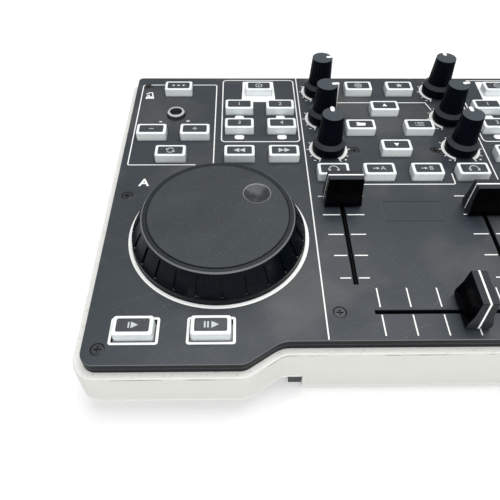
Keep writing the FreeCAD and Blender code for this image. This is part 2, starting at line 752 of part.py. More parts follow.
def make_front_fascia():
    """White trim that wraps the front, with a lip on top and a middle that hangs lower."""
    body = new_body("front_fascia")
    outside = new_sketch(body, "feet_height")
    draw_outline(outside, lip_outline())
    pad(body, outside, "case_height")
    end = f"({LIP_END} + cut_margin)"
    inside = new_sketch(body, "feet_height")
    draw_outline(inside, front_outline("fascia_wall", "fascia_wall", end))
    pocket(body, inside, "case_height - fascia_lip", upward=True)
    round_front(body, "fascia_wall", "fascia_wall")
    opening = new_sketch(body, CASE_TOP)
    draw_outline(opening, front_outline(LIP_SIDE, LIP_FRONT, end))
    pocket(body, opening, "fascia_lip")
    round_front(body, LIP_SIDE, LIP_FRONT)
    round_front(body, "0", "0")
    seam = value(SEAM_Y) - TOUCH
    deck = value(DECK_X)
    round_edges(body, wall_rims(
        body, CASE_TOP, "case_height",
        lambda box: box.YMin < seam or box.Center.y > seam and abs(box.Center.x) < deck),
        "fascia_edge_radius")
    drop = new_sketch(body, "feet_height")
    draw_outline(drop, rectangle("0", f"middle_setback + fascia_wall / 2 - {BACK}",
                                 "2 * fascia_drop_half", "fascia_wall"))
    pad(body, drop, "fascia_drop", downward=True)


def make_top_plate():
    """Black control surface: a shallow lid with windows, slots and sunk screw seats."""
    body = new_body("plate_lid")
    outside = new_sketch(body, CASE_TOP)
    draw_outline(outside, case_outline("side_strip", "back_strip", "front_strip"))
    pad(body, outside, "plate_height")
    side, back, front = (f"{strip} + plate_wall" for strip in ("side_strip", "back_strip", "front_strip"))
    hollow = new_sketch(body, CASE_TOP)
    draw_outline(hollow, case_outline(side, back, front))
    pocket(body, hollow, "plate_height - plate_skin", upward=True)
    round_front(body, side, front)
    round_front(body, "side_strip", "front_strip")
    round_back(body, "side_strip", "back_strip", "back_corner_radius - back_strip")
    round_edges(body, level_edges(body, PLATE_TOP), "plate_edge_radius")
    badge = new_sketch(body, PLATE_TOP)
    for inset in ("0", "badge_groove"):
        draw_outline(badge, rectangle("0", f"{ROW['load']} - badge_drop", f"badge_width - 2 * {inset}",
                                      f"badge_depth - 2 * {inset}"))
    pocket(body, badge, "badge_groove")
    through = ("plate_skin + 2 * cut_margin", f"{PLATE_UNDER} - cut_margin")

    def window(gap):
        return block(f"button_width + 2 * {gap}", f"button_depth + 2 * {gap}", *through)

    cutters = [
        *copies(window("button_gap"), NARROW_KEYS),
        *copies(window("deck_button_gap"), WIDE_KEYS),
        *copies(make_lens_shape("lamp_window", "led_gap", *through), LED_PLACES),
        *slots("slot_width", *through),
        *copies(rod("bush_radius + hole_gap", *through), KNOB_PLACES),
        *copies(rod("rotor_radius + hole_gap", *through), ENCODER_PLACES),
        *copies(rod("jog_post_radius + hole_gap", *through), JOG_PLACES),
        *copies(rod("screw_shank_radius + hole_gap", *through), SCREW_PLACES),
        *copies(rod("screw_head_radius + hole_gap / 2", f"{COUNTERSINK} + cut_margin",
                    f"{PLATE_TOP} - {COUNTERSINK}"), SCREW_PLACES)]
    without(body, cutters, "top_plate")


def make_lens_shape(label, gap, height, z):
    """An upright piece with the lamps' pill-shaped outline, widened by a gap."""
    body = new_body(label)
    width, depth = f"led_width + 2 * {gap}", f"led_depth + 2 * {gap}"
    corners = rectangle("0", "0", width, depth)
    lens = new_sketch(body, z)
    draw_outline(lens, corners)
    pad(body, lens, height)
    round_edges(body, upright_edges(body, corners), f"led_corner_radius + {gap}")
    return body


def make_circuit_board():
    """The control board under the plate, and the small socket board on the case's floor."""
    body = new_body("control_board")
    control = new_sketch(body, BOARD_UNDER)
    draw_outline(control, case_outline("board_side_inset", "board_back_inset", "board_front_inset"))
    pad(body, control, "board_thickness")
    through = ("board_thickness + 2 * cut_margin", f"{BOARD_UNDER} - cut_margin")
    notch = block("usb_width + 2 * usb_board_notch", "2 * (usb_length + usb_board_notch)", *through)
    holes = [*copies(rod("screw_post_radius + board_hole_gap", *through), SCREW_PLACES),
             *copies(rod("jog_post_radius + board_hole_gap", *through), JOG_PLACES),
             *copies(notch, [(USB_X, BACK)])]
    socket_board = block("usb_board_width", "usb_board_depth", "board_thickness",
                         f"{FLOOR_TOP} + usb_board_rise")
    group("circuit_board", [without(body, holes), *copies(socket_board, [
        (USB_X, f"({BACK} - case_wall - usb_board_inset - usb_board_depth / 2)")])])


def make_board_parts():
    """Switches, potentiometers, encoders, chips and capacitors soldered on the control board."""
    spindle_foot = f"({PLATE_UNDER} - spindle_reach)"

    def spindle_bore(top):
        foot = f"({spindle_foot} - cut_margin)"
        return rod("spindle_radius + running_gap", f"{top} - {foot} + cut_margin", foot)

    switch_top = f"({BOARD_TOP} + switch_height)"
    switch = without(block("switch_size", "switch_size", "switch_height", BOARD_TOP),
                     [rod("button_stem_radius + running_gap", "switch_bore_depth + cut_margin",
                          f"{switch_top} - switch_bore_depth")])
    pot_top = f"({BOARD_TOP} + pot_height)"
    pot = without(joined([block("pot_width", "pot_depth", "pot_height", BOARD_TOP),
                          rod("bush_radius", "bush_height + cut_margin", f"{pot_top} - cut_margin")]),
                  [spindle_bore(f"({pot_top} + bush_height)")])
    encoder = without(block("encoder_size", "encoder_size", "encoder_height", BOARD_TOP),
                      [spindle_bore(f"({BOARD_TOP} + encoder_height)")])
    sliders = slots("slider_width", "slider_height", BOARD_TOP, "slider_end")
    grooves = slots("slot_width", "slider_slot_depth + cut_margin",
                    f"{BOARD_TOP} + slider_height - slider_slot_depth")
    group("board_parts", [
        *copies(switch, NARROW_KEYS + WIDE_KEYS), *copies(pot, KNOB_PLACES),
        *copies(encoder, ENCODER_PLACES),
        *[without(slider, [groove]) for slider, groove in zip(sliders, grooves)],
        *copies(block("chip_size", "chip_size", "chip_height", BOARD_TOP), CHIP_PLACES),
        *copies(rod("capacitor_radius", "capacitor_height", BOARD_TOP), CAPACITOR_PLACES)])


def make_indicator_leds():
    """Lamps with pill-shaped white lenses that stand on the board and end level with the plate."""
    lens = make_lens_shape("lens", "0", f"{PLATE_TOP} - {BOARD_TOP} + led_proud", BOARD_TOP)
    group("indicator_leds", copies(lens, LED_PLACES))


def make_usb_socket():
    """Square usb socket with a bevelled mouth and the tongue that carries its contacts."""
    body = new_body("usb_socket")
    shell = new_sketch(body, f"-{USB_Y}", "XZ_Plane")
    draw_outline(shell, rectangle(USB_X, USB_Z, "usb_width", "usb_height"))
    pad(body, shell, "usb_length")
    mouth = new_sketch(body, f"-{USB_Y}", "XZ_Plane")
    left, right = f"{USB_X} - usb_mouth_width / 2", f"{USB_X} + usb_mouth_width / 2"
    foot, top = f"{USB_Z} - usb_mouth_height / 2", f"{USB_Z} + usb_mouth_height / 2"
    draw_outline(mouth, [
        (left, foot), (right, foot), (right, f"{top} - usb_mouth_bevel"),
        (f"{right} - usb_mouth_bevel", top), (f"{left} + usb_mouth_bevel", top),
        (left, f"{top} - usb_mouth_bevel")])
    pocket(body, mouth, "usb_mouth_depth", upward=True)
    tongue = new_sketch(body, f"usb_mouth_depth - {USB_Y}", "XZ_Plane")
    draw_outline(tongue, rectangle(USB_X, USB_Z, "usb_tongue_width", "usb_tongue_height"))
    pad(body, tongue, "usb_tongue_reach", downward=True)


def make_screws():
    """Black cross-head screws that hold the plate on the case's posts."""
    body = new_body("screw")
    seat = f"({PLATE_TOP} - {COUNTERSINK})"
    top = f"({seat} + screw_head_height)"
    turned(body, [
        ("0", f"{seat} - screw_length"), ("screw_shank_radius", f"{seat} - screw_length"),
        ("screw_shank_radius", seat), ("screw_head_radius", seat),
        ("screw_head_radius", f"{top} - screw_sink"), ("screw_head_radius - 2 * screw_sink", top),
        ("0", top)])
    for width, depth in (("screw_slot_length", "screw_slot_width"),
                         ("screw_slot_width", "screw_slot_length")):
        recess = new_sketch(body, top)
        draw_outline(recess, rectangle("0", "0", width, depth))
        pocket(body, recess, "screw_slot_depth")
    group("screws", copies(body, SCREW_PLACES))


def make_rubber_feet():
    """Dark tapered feet, the front pair close behind the fascia."""
    body = new_body("foot")
    foot = new_sketch(body, "feet_height")
    draw_outline(foot, rectangle("0", "0", "foot_width", "foot_depth"))
    pad(body, foot, "feet_height", downward=True, draft="-foot_draft")
    group("rubber_feet", copies(body, FOOT_PLACES))


def make_button():
    """White key: a drafted cap through its window, a flange that holds it in, and a stem."""
    body = new_body("key")
    flange_top = f"({PLATE_UNDER} - button_flange_gap)"
    flange_foot = f"({flange_top} - button_flange_height)"
    top = f"({PLATE_TOP} + button_rise)"
    cap = new_sketch(body, flange_top)
    draw_outline(cap, rectangle("0", "0", "button_width", "button_depth"))
    pad(body, cap, f"{top} - {flange_top}", draft="-button_draft")
    rise = value(f"{top} - {flange_top}")
    sides = [f"Edge{number}" for number, edge in enumerate(body.Tip.Shape.Edges, start=1)
             if abs(edge.BoundBox.ZLength - rise) < TOUCH]
    round_edges(body, sides, "button_corner_radius")
    round_edges(body, level_edges(body, top), "button_edge_radius")
    flange = new_sketch(body, flange_top)
    draw_outline(flange, rectangle("0", "0", "button_width + 2 * button_flange", "button_depth"))
    pad(body, flange, "button_flange_height", downward=True)
    stem = new_sketch(body, flange_foot)
    draw_circle(stem, "button_stem_radius")
    pad(body, stem, f"{flange_foot} - {BOARD_TOP} - switch_height + button_stem_depth", downward=True)
    return body


def make_knob():
    """Tall fluted knob with a conical skirt, in one with the spindle that it turns."""
    body = new_body("knob")
    skirt_foot = f"({PLATE_TOP} + knob_underside)"
    spindle_foot = f"({PLATE_UNDER} - spindle_reach)"
    top = f"({PLATE_TOP} + knob_height)"
    turned(body, [
        ("0", spindle_foot), ("spindle_radius", spindle_foot),
        ("spindle_radius", f"{skirt_foot} + knob_recess"),
        ("knob_skirt_radius - knob_skirt_wall", f"{skirt_foot} + knob_recess"),
        ("knob_skirt_radius - knob_skirt_wall", skirt_foot), ("knob_skirt_radius", skirt_foot),
        ("knob_skirt_radius", f"{PLATE_TOP} + knob_skirt_rise"),
        ("knob_waist_radius", f"{PLATE_TOP} + knob_waist_rise"),
        ("knob_top_radius", top), ("0", top)])
    rise = "(knob_height - knob_waist_rise)"
    flute = leaning_sketch(body, "knob_top_radius + flute_radius - flute_depth", top,
                           f"-atan((knob_waist_radius - knob_top_radius) / {rise})")
    draw_circle(flute, "flute_radius")
    repeat_round(body, pocket(body, flute, rise), "flute_count")
    return body


def make_fader_cap():
    """Fader cap with hollow flanks and sloping ends, in one with the lever that it slides."""
    body = new_body("fader_cap")
    top, foot, lip, waist = (f"({PLATE_TOP} + {rise})" for rise in (
        "cap_rise", "cap_underside", "cap_lip", "cap_waist_rise"))
    flank = [("cap_foot_half", foot), ("cap_foot_half", lip), ("cap_waist_half", waist),
             ("cap_top_half", top)]
    profile = new_sketch(body, "0", "XZ_Plane")
    draw_outline(profile, flank + [(f"-{x}", z) for x, z in reversed(flank)])
    pad(body, profile, "cap_length", both_ways=True)
    round_edges(body, level_edges(body, waist), "cap_waist_radius")
    ends = new_sketch(body, "0", "YZ_Plane")
    for sign in ("", "-"):
        draw_outline(ends, [(f"{sign}cap_length / 2", lip), (f"{sign}cap_top_length / 2", top),
                            (f"{sign}cap_length / 2", top)])
    pocket(body, ends, "2 * cap_foot_half", both_ways=True)
    round_edges(body, level_edges(body, top), "cap_edge_radius")
    lever = new_sketch(body, foot)
    draw_outline(lever, rectangle("0", "0", "lever_length", "lever_width"))
    pad(body, lever, f"{foot} - {PLATE_UNDER} + lever_depth", downward=True)
    return body


def make_jog_wheel():
    """Jog wheel: a fluted cone with a recess on top, on a hub and a shaft."""
    body = new_body("jog")
    underside = f"({PLATE_TOP} + jog_underside)"
    band = f"({PLATE_TOP} + jog_band_rise)"
    rim = f"({PLATE_TOP} + jog_rim_rise)"
    seat = f"({rim} - jog_recess)"
    hub_foot = f"({PLATE_TOP} - jog_post_drop + jog_post_gap)"
    shaft_foot = f"({FLOOR_TOP} + jog_shaft_foot)"
    turned(body, [
        ("0", shaft_foot), ("jog_shaft_radius", shaft_foot), ("jog_shaft_radius", hub_foot),
        ("jog_hub_radius", hub_foot), ("jog_hub_radius", f"{seat} - jog_web"),
        (JOG_RIM, f"{seat} - jog_web"), (f"{JOG_RADIUS} - jog_wall", band),
        (f"{JOG_RADIUS} - jog_wall", underside), (JOG_RADIUS, underside), (JOG_RADIUS, band),
        (JOG_RIM, f"{rim} - jog_rim_chamfer"), (f"{JOG_RIM} - jog_rim_chamfer", rim),
        ("jog_disc_radius + jog_groove", rim), ("jog_disc_radius + jog_groove", seat), ("0", seat)])
    rise = "(jog_rim_rise - jog_rim_chamfer - jog_band_rise)"
    slot = leaning_sketch(body, f"({JOG_RADIUS} + {JOG_RIM}) / 2", f"{band} + {rise} / 2",
                          f"atan({rise} / jog_flare)")
    draw_stadium(slot, "jog_slot_length", "jog_slot_width")
    repeat_round(body, pocket(body, slot, "jog_slot_depth"), "jog_slot_count")
    return body


def make_jog_disc():
    """Touch plate that lies in the jog wheel's recess, with a dished finger rest."""
    top = f"({PLATE_TOP} + jog_rim_rise + jog_disc_proud)"
    thickness = "jog_recess + jog_disc_proud"
    bowl = "((dimple_radius^2 + dimple_depth^2) / (2 * dimple_depth))"
    ball = doc.addObject("Part::Sphere", "ball")
    tie(ball, "Radius", bowl)
    tie(ball, "Placement.Base.x", "jog_disc_radius - dimple_edge - dimple_radius")
    tie(ball, "Placement.Base.z", f"{top} - dimple_depth + {bowl}")
    return without(rod("jog_disc_radius", thickness, f"{top} - ({thickness})"), [ball])


def make_encoder_rotor():
    """The pitch encoder's collar and spindle, its cap missing."""
    body = new_body("rotor")
    top = f"({PLATE_TOP} + rotor_rise)"
    collar_foot = f"({PLATE_UNDER} - rotor_foot)"
    spindle_foot = f"({PLATE_UNDER} - spindle_reach)"
    turned(body, [
        ("0", spindle_foot), ("spindle_radius", spindle_foot), ("spindle_radius", collar_foot),
        ("rotor_radius", collar_foot), ("rotor_radius", f"{top} - rotor_chamfer"),
        ("rotor_radius - rotor_chamfer", top), ("rotor_bore_radius", top),
        ("rotor_bore_radius", f"{top} - rotor_bore_depth"), ("0", f"{top} - rotor_bore_depth")])
    return body


make_bottom_case()
make_front_fascia()
make_top_plate()
make_circuit_board()
make_board_parts()
make_indicator_leds()
make_usb_socket()
make_screws()
make_rubber_feet()
NODES = ["bottom_case", "front_fascia", "top_plate", "circuit_board", "board_parts",
         "indicator_leds", "usb_socket", "screws", "rubber_feet"]
key, knob, cap = make_button(), make_knob(), make_fader_cap()
wheel, disc, rotor = make_jog_wheel(), make_jog_disc(), make_encoder_rotor()
PLACES = [(name, key, x, y, "0") for name, (x, y) in MIDDLE_BUTTONS.items()]
PLACES.append(("crossfader", cap, "crossfader_rest", ROW["crossfader"], "0"))
for deck, sign in (("a", "-"), ("b", "")):
    for name, (x, y) in DECK_BUTTONS.items():
        label = name if deck == "a" else SWAPPED.get(name, name)
        PLACES.append((f"{label}_{deck}", key, f"{sign}{x}", y, "0"))
    for name, y in KNOB_ROWS.items():
        PLACES.append((f"{name}_{deck}", knob, f"{sign}knob_column", y, f"{name}_{deck}_angle"))
    PLACES += [
        (f"volume_{deck}", cap, f"{sign}volume_column", f"{VOLUME_Y} + volume_{deck}_rest",
         "quarter_turn"),
        (f"jog_wheel_{deck}", wheel, f"{sign}{DECK_X}", JOG_Y, "jog_angle"),
        (f"jog_disc_{deck}", disc, f"{sign}{DECK_X}", JOG_Y, "dimple_angle"),
        (f"encoder_{deck}", rotor, f"{sign}{PITCH_X}", ROW["encoder"], "0")]
for label, pattern, x, y, angle in PLACES:
    copy_to(label, pattern, x, y, angle=angle)
    NODES.append(label)

doc.recompute()
for thing in doc.Objects:
    if "Invalid" in thing.State or "Error" in thing.State:
        raise ValueError(f"{thing.Label} did not compute")
os.makedirs("parts", exist_ok=True)
for label in NODES:
    shape = doc.getObject(label).Shape
    if shape.isNull() or not shape.isValid():
        raise ValueError(f"{label} has no sound shape")
    shape.exportStep(f"parts/{label}.step")
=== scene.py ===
"""Looks of the dj controller: materials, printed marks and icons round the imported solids."""
import json
import math

import bpy
from mathutils import Matrix, Vector


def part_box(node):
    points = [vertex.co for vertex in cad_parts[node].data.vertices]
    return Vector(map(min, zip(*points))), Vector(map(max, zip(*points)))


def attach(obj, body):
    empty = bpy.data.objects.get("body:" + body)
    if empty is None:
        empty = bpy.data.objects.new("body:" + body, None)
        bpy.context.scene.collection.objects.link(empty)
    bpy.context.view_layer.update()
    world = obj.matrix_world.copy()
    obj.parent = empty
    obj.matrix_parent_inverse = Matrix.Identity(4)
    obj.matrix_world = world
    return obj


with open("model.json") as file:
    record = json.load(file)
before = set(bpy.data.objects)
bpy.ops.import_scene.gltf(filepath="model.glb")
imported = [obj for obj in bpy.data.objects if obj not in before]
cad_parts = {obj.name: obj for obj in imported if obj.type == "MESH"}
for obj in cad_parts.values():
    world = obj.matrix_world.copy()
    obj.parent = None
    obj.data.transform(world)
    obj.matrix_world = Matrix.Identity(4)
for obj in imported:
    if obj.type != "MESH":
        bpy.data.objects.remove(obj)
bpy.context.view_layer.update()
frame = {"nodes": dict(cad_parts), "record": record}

MM = 0.001
INK = 0.03                      # how proud print stands, mm
DECKS = {"a": -1, "b": 1}

# places on the solids, mm
PLATE_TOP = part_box("top_plate")[1][2] / MM
CASE_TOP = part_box("front_fascia")[1][2] / MM
DISC_LOW, DISC_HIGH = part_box("jog_disc_b")
DISC_TOP = DISC_HIGH[2] / MM
JOG_AXIS = (DISC_LOW[0] + DISC_HIGH[0]) / 2 / MM, (DISC_LOW[1] + DISC_HIGH[1]) / 2 / MM
JOG_EDGE = (DISC_HIGH[0] - DISC_LOW[0]) / 2 / MM
LOBE_START = 59.5               # where the case's front lobes begin, from the middle
LOBE_RIM_HIGHLIGHT = (10.0, 11.5)         # heights of the painted highlight along the lower rim of the lobes
MIDDLE_RIM_HIGHLIGHT = 2.8                # height up to which the lower rim between the lobes gets a painted highlight
SKIRT_RISE = (5.5, 7.2)         # the cone of a knob's skirt above the plate, which is painted grey as lit
KNOB_RISE = 22.76               # just under a knob's end, above the plate

# printed lines, mm
LINE = 0.6                      # frames, dividers and fader scales
THIN = 0.5                      # ticks and the strokes of icons
BOLD = 0.7                      # signs beside the encoders
KEY_BORDER = 1.1                # borders round the cue and play keys


# ------------------------------------------------------------------ palette
# linear red, green and blue

WARM_WHITE = (0.69, 0.69, 0.65)
AGED_WHITE = (0.66, 0.66, 0.60)
# painted highlight along the lower rim of the case
RIM_HIGHLIGHT = (0.88, 0.88, 0.86)
# painted light: the case's top face is lighter than its front wall
TOP_PAINTED_LIGHT = (0.90, 0.90, 0.87)
GRIME = (0.44, 0.40, 0.33)
SCUFF = (0.10, 0.11, 0.15)
BROWN_SPECK = (0.25, 0.23, 0.21)

PLATE_BLUE = (0.020, 0.028, 0.037)
PLATE_PALE = (0.030, 0.040, 0.050)
PLATE_DUST = (0.095, 0.091, 0.086)
SCRATCH = (0.17, 0.18, 0.185)
DUST_SPECK = (0.40, 0.43, 0.44)
# painted shade on the plate's side wall
WALL_SHADE = (0.006, 0.008, 0.010)
# painted highlight line standing in for a step in the plate's side wall
GROOVE_HIGHLIGHT = (0.075, 0.085, 0.095)
# painted highlight along the plate's top edge
EDGE_HIGHLIGHT = (0.13, 0.14, 0.15)

MILKY_WHITE = (0.86, 0.92, 0.92)
# painted shade at the foot of a key, next to the plate
KEY_FOOT_SHADE = (0.50, 0.55, 0.56)
KEY_YELLOWED = (0.66, 0.67, 0.62)
LABEL_BLUE = (0.026, 0.033, 0.040)
LABEL_RUBBED = (0.075, 0.085, 0.09)
PRINT_WHITE = (0.93, 0.94, 0.93)
PRINT_THIN = (0.50, 0.52, 0.53)
ICON_GREY = (0.56, 0.60, 0.61)
ICON_THIN = (0.22, 0.24, 0.25)

KNOB_BLACK = (0.001, 0.0025, 0.006)
# painted light: a knob's end and the cone of its skirt are lighter than its black sides
KNOB_END_LIGHT = (0.064, 0.077, 0.087)
SKIRT_LIGHT = (0.040, 0.046, 0.052)
CAP_BLACK = (0.0005, 0.0005, 0.001)
# painted light: a cap's ends and top are lighter than its black flanks
CAP_END_LIGHT = (0.026, 0.029, 0.032)
CAP_TOP_LIGHT = (0.042, 0.047, 0.053)

JOG_BLACK = (0.001, 0.0025, 0.005)
JOG_STREAK = (0.020, 0.019, 0.018)
# painted highlight on the jog rim's chamfer
JOG_CHAMFER_HIGHLIGHT = (0.16, 0.17, 0.175)
# painted light: the jog's upward faces, such as the rim's top, are a little lighter
JOG_TOP_LIGHT = (0.025, 0.031, 0.035)
JOG_SPECK = (0.30, 0.29, 0.27)
DISC_BLUE = (0.025, 0.033, 0.037)
DISC_PALE = (0.043, 0.051, 0.055)
DISC_SMUDGE = (0.021, 0.027, 0.031)
DISC_WIPED = (0.014, 0.018, 0.021)
DISC_HAZE = (0.095, 0.103, 0.105)
DISC_SPECK = (0.34, 0.36, 0.37)
REST_DARK = (0.018, 0.022, 0.026)
REST_RUBBED = (0.085, 0.09, 0.095)
# painted highlight round the edge of the finger rest
REST_EDGE_HIGHLIGHT = (0.26, 0.27, 0.275)
# painted shade in the gap between the disc and the jog rim
GAP_SHADE = (0.002, 0.003, 0.004)

COLLAR_GREY = (0.05, 0.054, 0.06)
COLLAR_WORN = (0.60, 0.63, 0.65)
COLLAR_RUBBED = (0.14, 0.15, 0.155)


# ---------------------------------------------------------------- materials

class Shader:
    """A principled material, built node by node."""

    def __init__(self, name, color, roughness, **settings):
        self.material = bpy.data.materials.new(name)
        self.material.use_nodes = True
        self.nodes = self.material.node_tree.nodes
        self.principled = self.nodes["Principled BSDF"]
        self.principled.inputs["Base Color"].default_value = (*color, 1)
        self.principled.inputs["Roughness"].default_value = roughness
        for setting, value in settings.items():
            self.principled.inputs[setting.replace("_", " ")].default_value = value
        self.place = self.nodes.new("ShaderNodeTexCoord").outputs["Object"]

    def link(self, source, target):
        self.material.node_tree.links.new(source, target)

    def math(self, operation, first, second=0.0, clamp=True):
        node = self.nodes.new("ShaderNodeMath")
        node.operation = operation
        node.use_clamp = clamp
        for socket, value in zip(node.inputs, (first, second)):
            if isinstance(value, (int, float)):
                socket.default_value = value
            else:
                self.link(value, socket)
        return node.outputs[0]

    def stretch(self, scale, turn=0.0):
        """Object coordinates in millimetres, scaled and turned about Z."""
        node = self.nodes.new("ShaderNodeMapping")
        node.vector_type = "TEXTURE"
        node.inputs["Scale"].default_value = [MM * size for size in scale]
        node.inputs["Rotation"].default_value = (0, 0, turn)
        self.link(self.place, node.inputs["Vector"])
        return node.outputs[0]

    def noise(self, size, detail=3.0, stretch=(1, 1, 1), turn=0.0, swirl=0.0):
        """Noise with features of about a size in millimetres, bent by a swirl."""
        node = self.nodes.new("ShaderNodeTexNoise")
        node.inputs["Scale"].default_value = 1.0
        node.inputs["Distortion"].default_value = swirl
        node.inputs["Detail"].default_value = detail
        self.link(self.stretch([size * part for part in stretch], turn), node.inputs["Vector"])
        return node.outputs["Fac"]

    def between(self, value, low, high, start=0.0, end=1.0):
        """Maps a value from low..high to start..end, held at the ends."""
        node = self.nodes.new("ShaderNodeMapRange")
        for name, number in (("From Min", low), ("From Max", high), ("To Min", start), ("To Max", end)):
            node.inputs[name].default_value = number
        self.link(value, node.inputs["Value"])
        return node.outputs[0]

    def axis(self, name):
        """A coordinate of the place on the object, in millimetres."""
        node = self.nodes.new("ShaderNodeSeparateXYZ")
        self.link(self.place, node.inputs[0])
        return self.math("MULTIPLY", node.outputs[name], 1 / MM, clamp=False)

    def reach(self, x, y):
        """Distance in millimetres from the upright axis at x, or its mirror at -x, and y."""
        across = self.math("SUBTRACT", self.math("ABSOLUTE", self.axis("X"), clamp=False), x, clamp=False)
        along = self.math("SUBTRACT", self.axis("Y"), y, clamp=False)
        squares = [self.math("MULTIPLY", part, part, clamp=False) for part in (across, along)]
        return self.math("SQRT", self.math("ADD", *squares, clamp=False), clamp=False)

    def facing(self, name):
        """How squarely the surface faces along an axis, either way."""
        node = self.nodes.new("ShaderNodeSeparateXYZ")
        self.link(self.nodes.new("ShaderNodeNewGeometry").outputs["Normal"], node.inputs[0])
        return self.math("ABSOLUTE", node.outputs[name])

    def tint(self, factor, color):
        """Mixes a colour over the base colour by a factor."""
        socket = self.principled.inputs["Base Color"]
        node = self.nodes.new("ShaderNodeMix")
        node.data_type = "RGBA"
        if socket.is_linked:
            self.link(socket.links[0].from_socket, node.inputs[6])
        else:
            node.inputs[6].default_value = socket.default_value
        node.inputs[7].default_value = (*color, 1)
        self.link(factor, node.inputs[0])
        self.link(node.outputs[2], socket)
        return self

    def rough(self, value):
        self.link(value, self.principled.inputs["Roughness"])
        return self

    def shine(self, value):
        self.link(value, self.principled.inputs["Specular IOR Level"])
        return self

    def band(self, value, low, high, soft):
        """One between low and high, falling to nought over a soft width outside them."""
        return self.math("MULTIPLY", self.between(value, low - soft, low),
                         self.between(value, high, high + soft, 1.0, 0.0))

    def above(self, value, level, soft):
        """One where a value is over a level, nought under it, with a soft step."""
        return self.between(value, level - soft, level + soft)

    def below(self, value, level, soft):
        """One where a value is under a level, nought over it, with a soft step."""
        return self.between(value, level - soft, level + soft, 1.0, 0.0)

    def patches(self, color, amount, size, detail, low, high, where=None, **pattern):
        """Tints by up to an amount where noise of a size climbs from low to high."""
        factor = self.between(self.noise(size, detail, **pattern), low, high, 0.0, amount)
        if where is not None:
            factor = self.math("MULTIPLY", where, factor)
        return self.tint(factor, color)

    def paint(self, where, color, amount=1.0):
        """Tints by an amount in one place."""
        return self.tint(self.math("MULTIPLY", where, amount) if amount < 1 else where, color)

    def uneven(self, size, detail, smooth, dull, low=0.3, high=0.7):
        """Roughness from smooth to dull as noise of a size climbs from low to high."""
        return self.rough(self.between(self.noise(size, detail), low, high, smooth, dull))

    def grain(self, size, detail, depth, strength):
        """Fine relief of a size and a depth in millimetres."""
        return self.bump(self.noise(size, detail), depth, strength)

    def bump(self, height, depth, strength=1.0):
        """Raises the surface by a height from 0 to 1 times a depth in millimetres."""
        node = self.nodes.new("ShaderNodeBump")
        node.inputs["Strength"].default_value = strength
        node.inputs["Distance"].default_value = depth * MM
        self.link(height, node.inputs["Height"])
        self.link(node.outputs[0], self.principled.inputs["Normal"])
        return self


def casing_material():
    """Warm white plastic: scuffed along its top crease, grimy at the plate, its top face painted lighter
    as lit and a painted highlight along its lower rim.
    """
    shader = Shader("casing", WARM_WHITE, 0.40, Specular_IOR_Level=0.45)
    height = shader.axis("Z")
    shader.patches(AGED_WHITE, amount=0.2, size=38.0, detail=4.0, low=0.4, high=0.7)
    # painted highlight along the lower rim of the lobes and of the middle
    lobes = shader.above(shader.math("ABSOLUTE", shader.axis("X"), clamp=False), LOBE_START, 0.5)
    lobe_rim_highlight = shader.math("MULTIPLY", shader.band(height, *LOBE_RIM_HIGHLIGHT, 0.2), lobes)
    rim = shader.math("MAXIMUM", lobe_rim_highlight, shader.below(height, MIDDLE_RIM_HIGHLIGHT, 0.1))
    shader.paint(rim, RIM_HIGHLIGHT, amount=0.7)
    top = shader.above(height, CASE_TOP - 0.1, 0.05)
    # painted light: the top face is painted lighter as lit
    shader.paint(top, TOP_PAINTED_LIGHT, amount=0.7)
    shader.patches(GRIME, amount=0.35, size=1.5, detail=5.0, low=0.56, high=0.72, where=top)
    crease = shader.band(height, CASE_TOP - 1.05, CASE_TOP - 0.55, 0.15)
    shader.patches(SCUFF, amount=0.75, size=6.0, detail=6.0, low=0.47, high=0.60, where=crease,
                   stretch=(3.0, 1, 1))
    shader.patches(BROWN_SPECK, amount=0.6, size=1.1, detail=2.0, low=0.76, high=0.79)
    shader.uneven(size=9.0, detail=5.0, smooth=0.34, dull=0.52)
    return shader.grain(size=0.5, detail=2.0, depth=0.03, strength=0.3).material


def plate_material():
    """Dark blue-grey satin plastic: dusty and scratched, with a painted highlight along its top edge and
    a painted highlight line along its side wall, which is painted near black as shade and shines less.
    """
    shader = Shader("plate", PLATE_BLUE, 0.42)
    height = shader.axis("Z")
    shader.patches(PLATE_PALE, amount=0.6, size=30.0, detail=4.0, low=0.35, high=0.7)
    shader.patches(PLATE_DUST, amount=0.45, size=42.0, detail=5.0, low=0.50, high=0.66)
    for turn in (0.35, 0.8, -0.9):
        shader.patches(SCRATCH, amount=0.2, size=0.4, detail=2.0, low=0.66, high=0.74,
                       stretch=(50, 1, 1), turn=turn)
    shader.patches(DUST_SPECK, amount=0.4, size=0.45, detail=1.0, low=0.78, high=0.82)
    wall = shader.below(height, PLATE_TOP - 0.6, 0.1)
    # painted shade: the side wall under the top edge is painted near black and shines less
    shader.paint(wall, WALL_SHADE)
    # painted highlight line standing in for a step in the side wall
    shader.paint(shader.band(height, PLATE_TOP - 3.3, PLATE_TOP - 3.1, 0.1), GROOVE_HIGHLIGHT)
    # painted highlight along the rounded top edge
    shader.paint(shader.band(height, PLATE_TOP - 0.42, PLATE_TOP - 0.15, 0.08), EDGE_HIGHLIGHT)
    shader.shine(shader.between(wall, 0.0, 1.0, 0.46, 0.12))
    shader.uneven(size=14.0, detail=5.0, smooth=0.36, dull=0.50)
    return shader.grain(size=0.28, detail=1.0, depth=0.02, strength=0.35).material


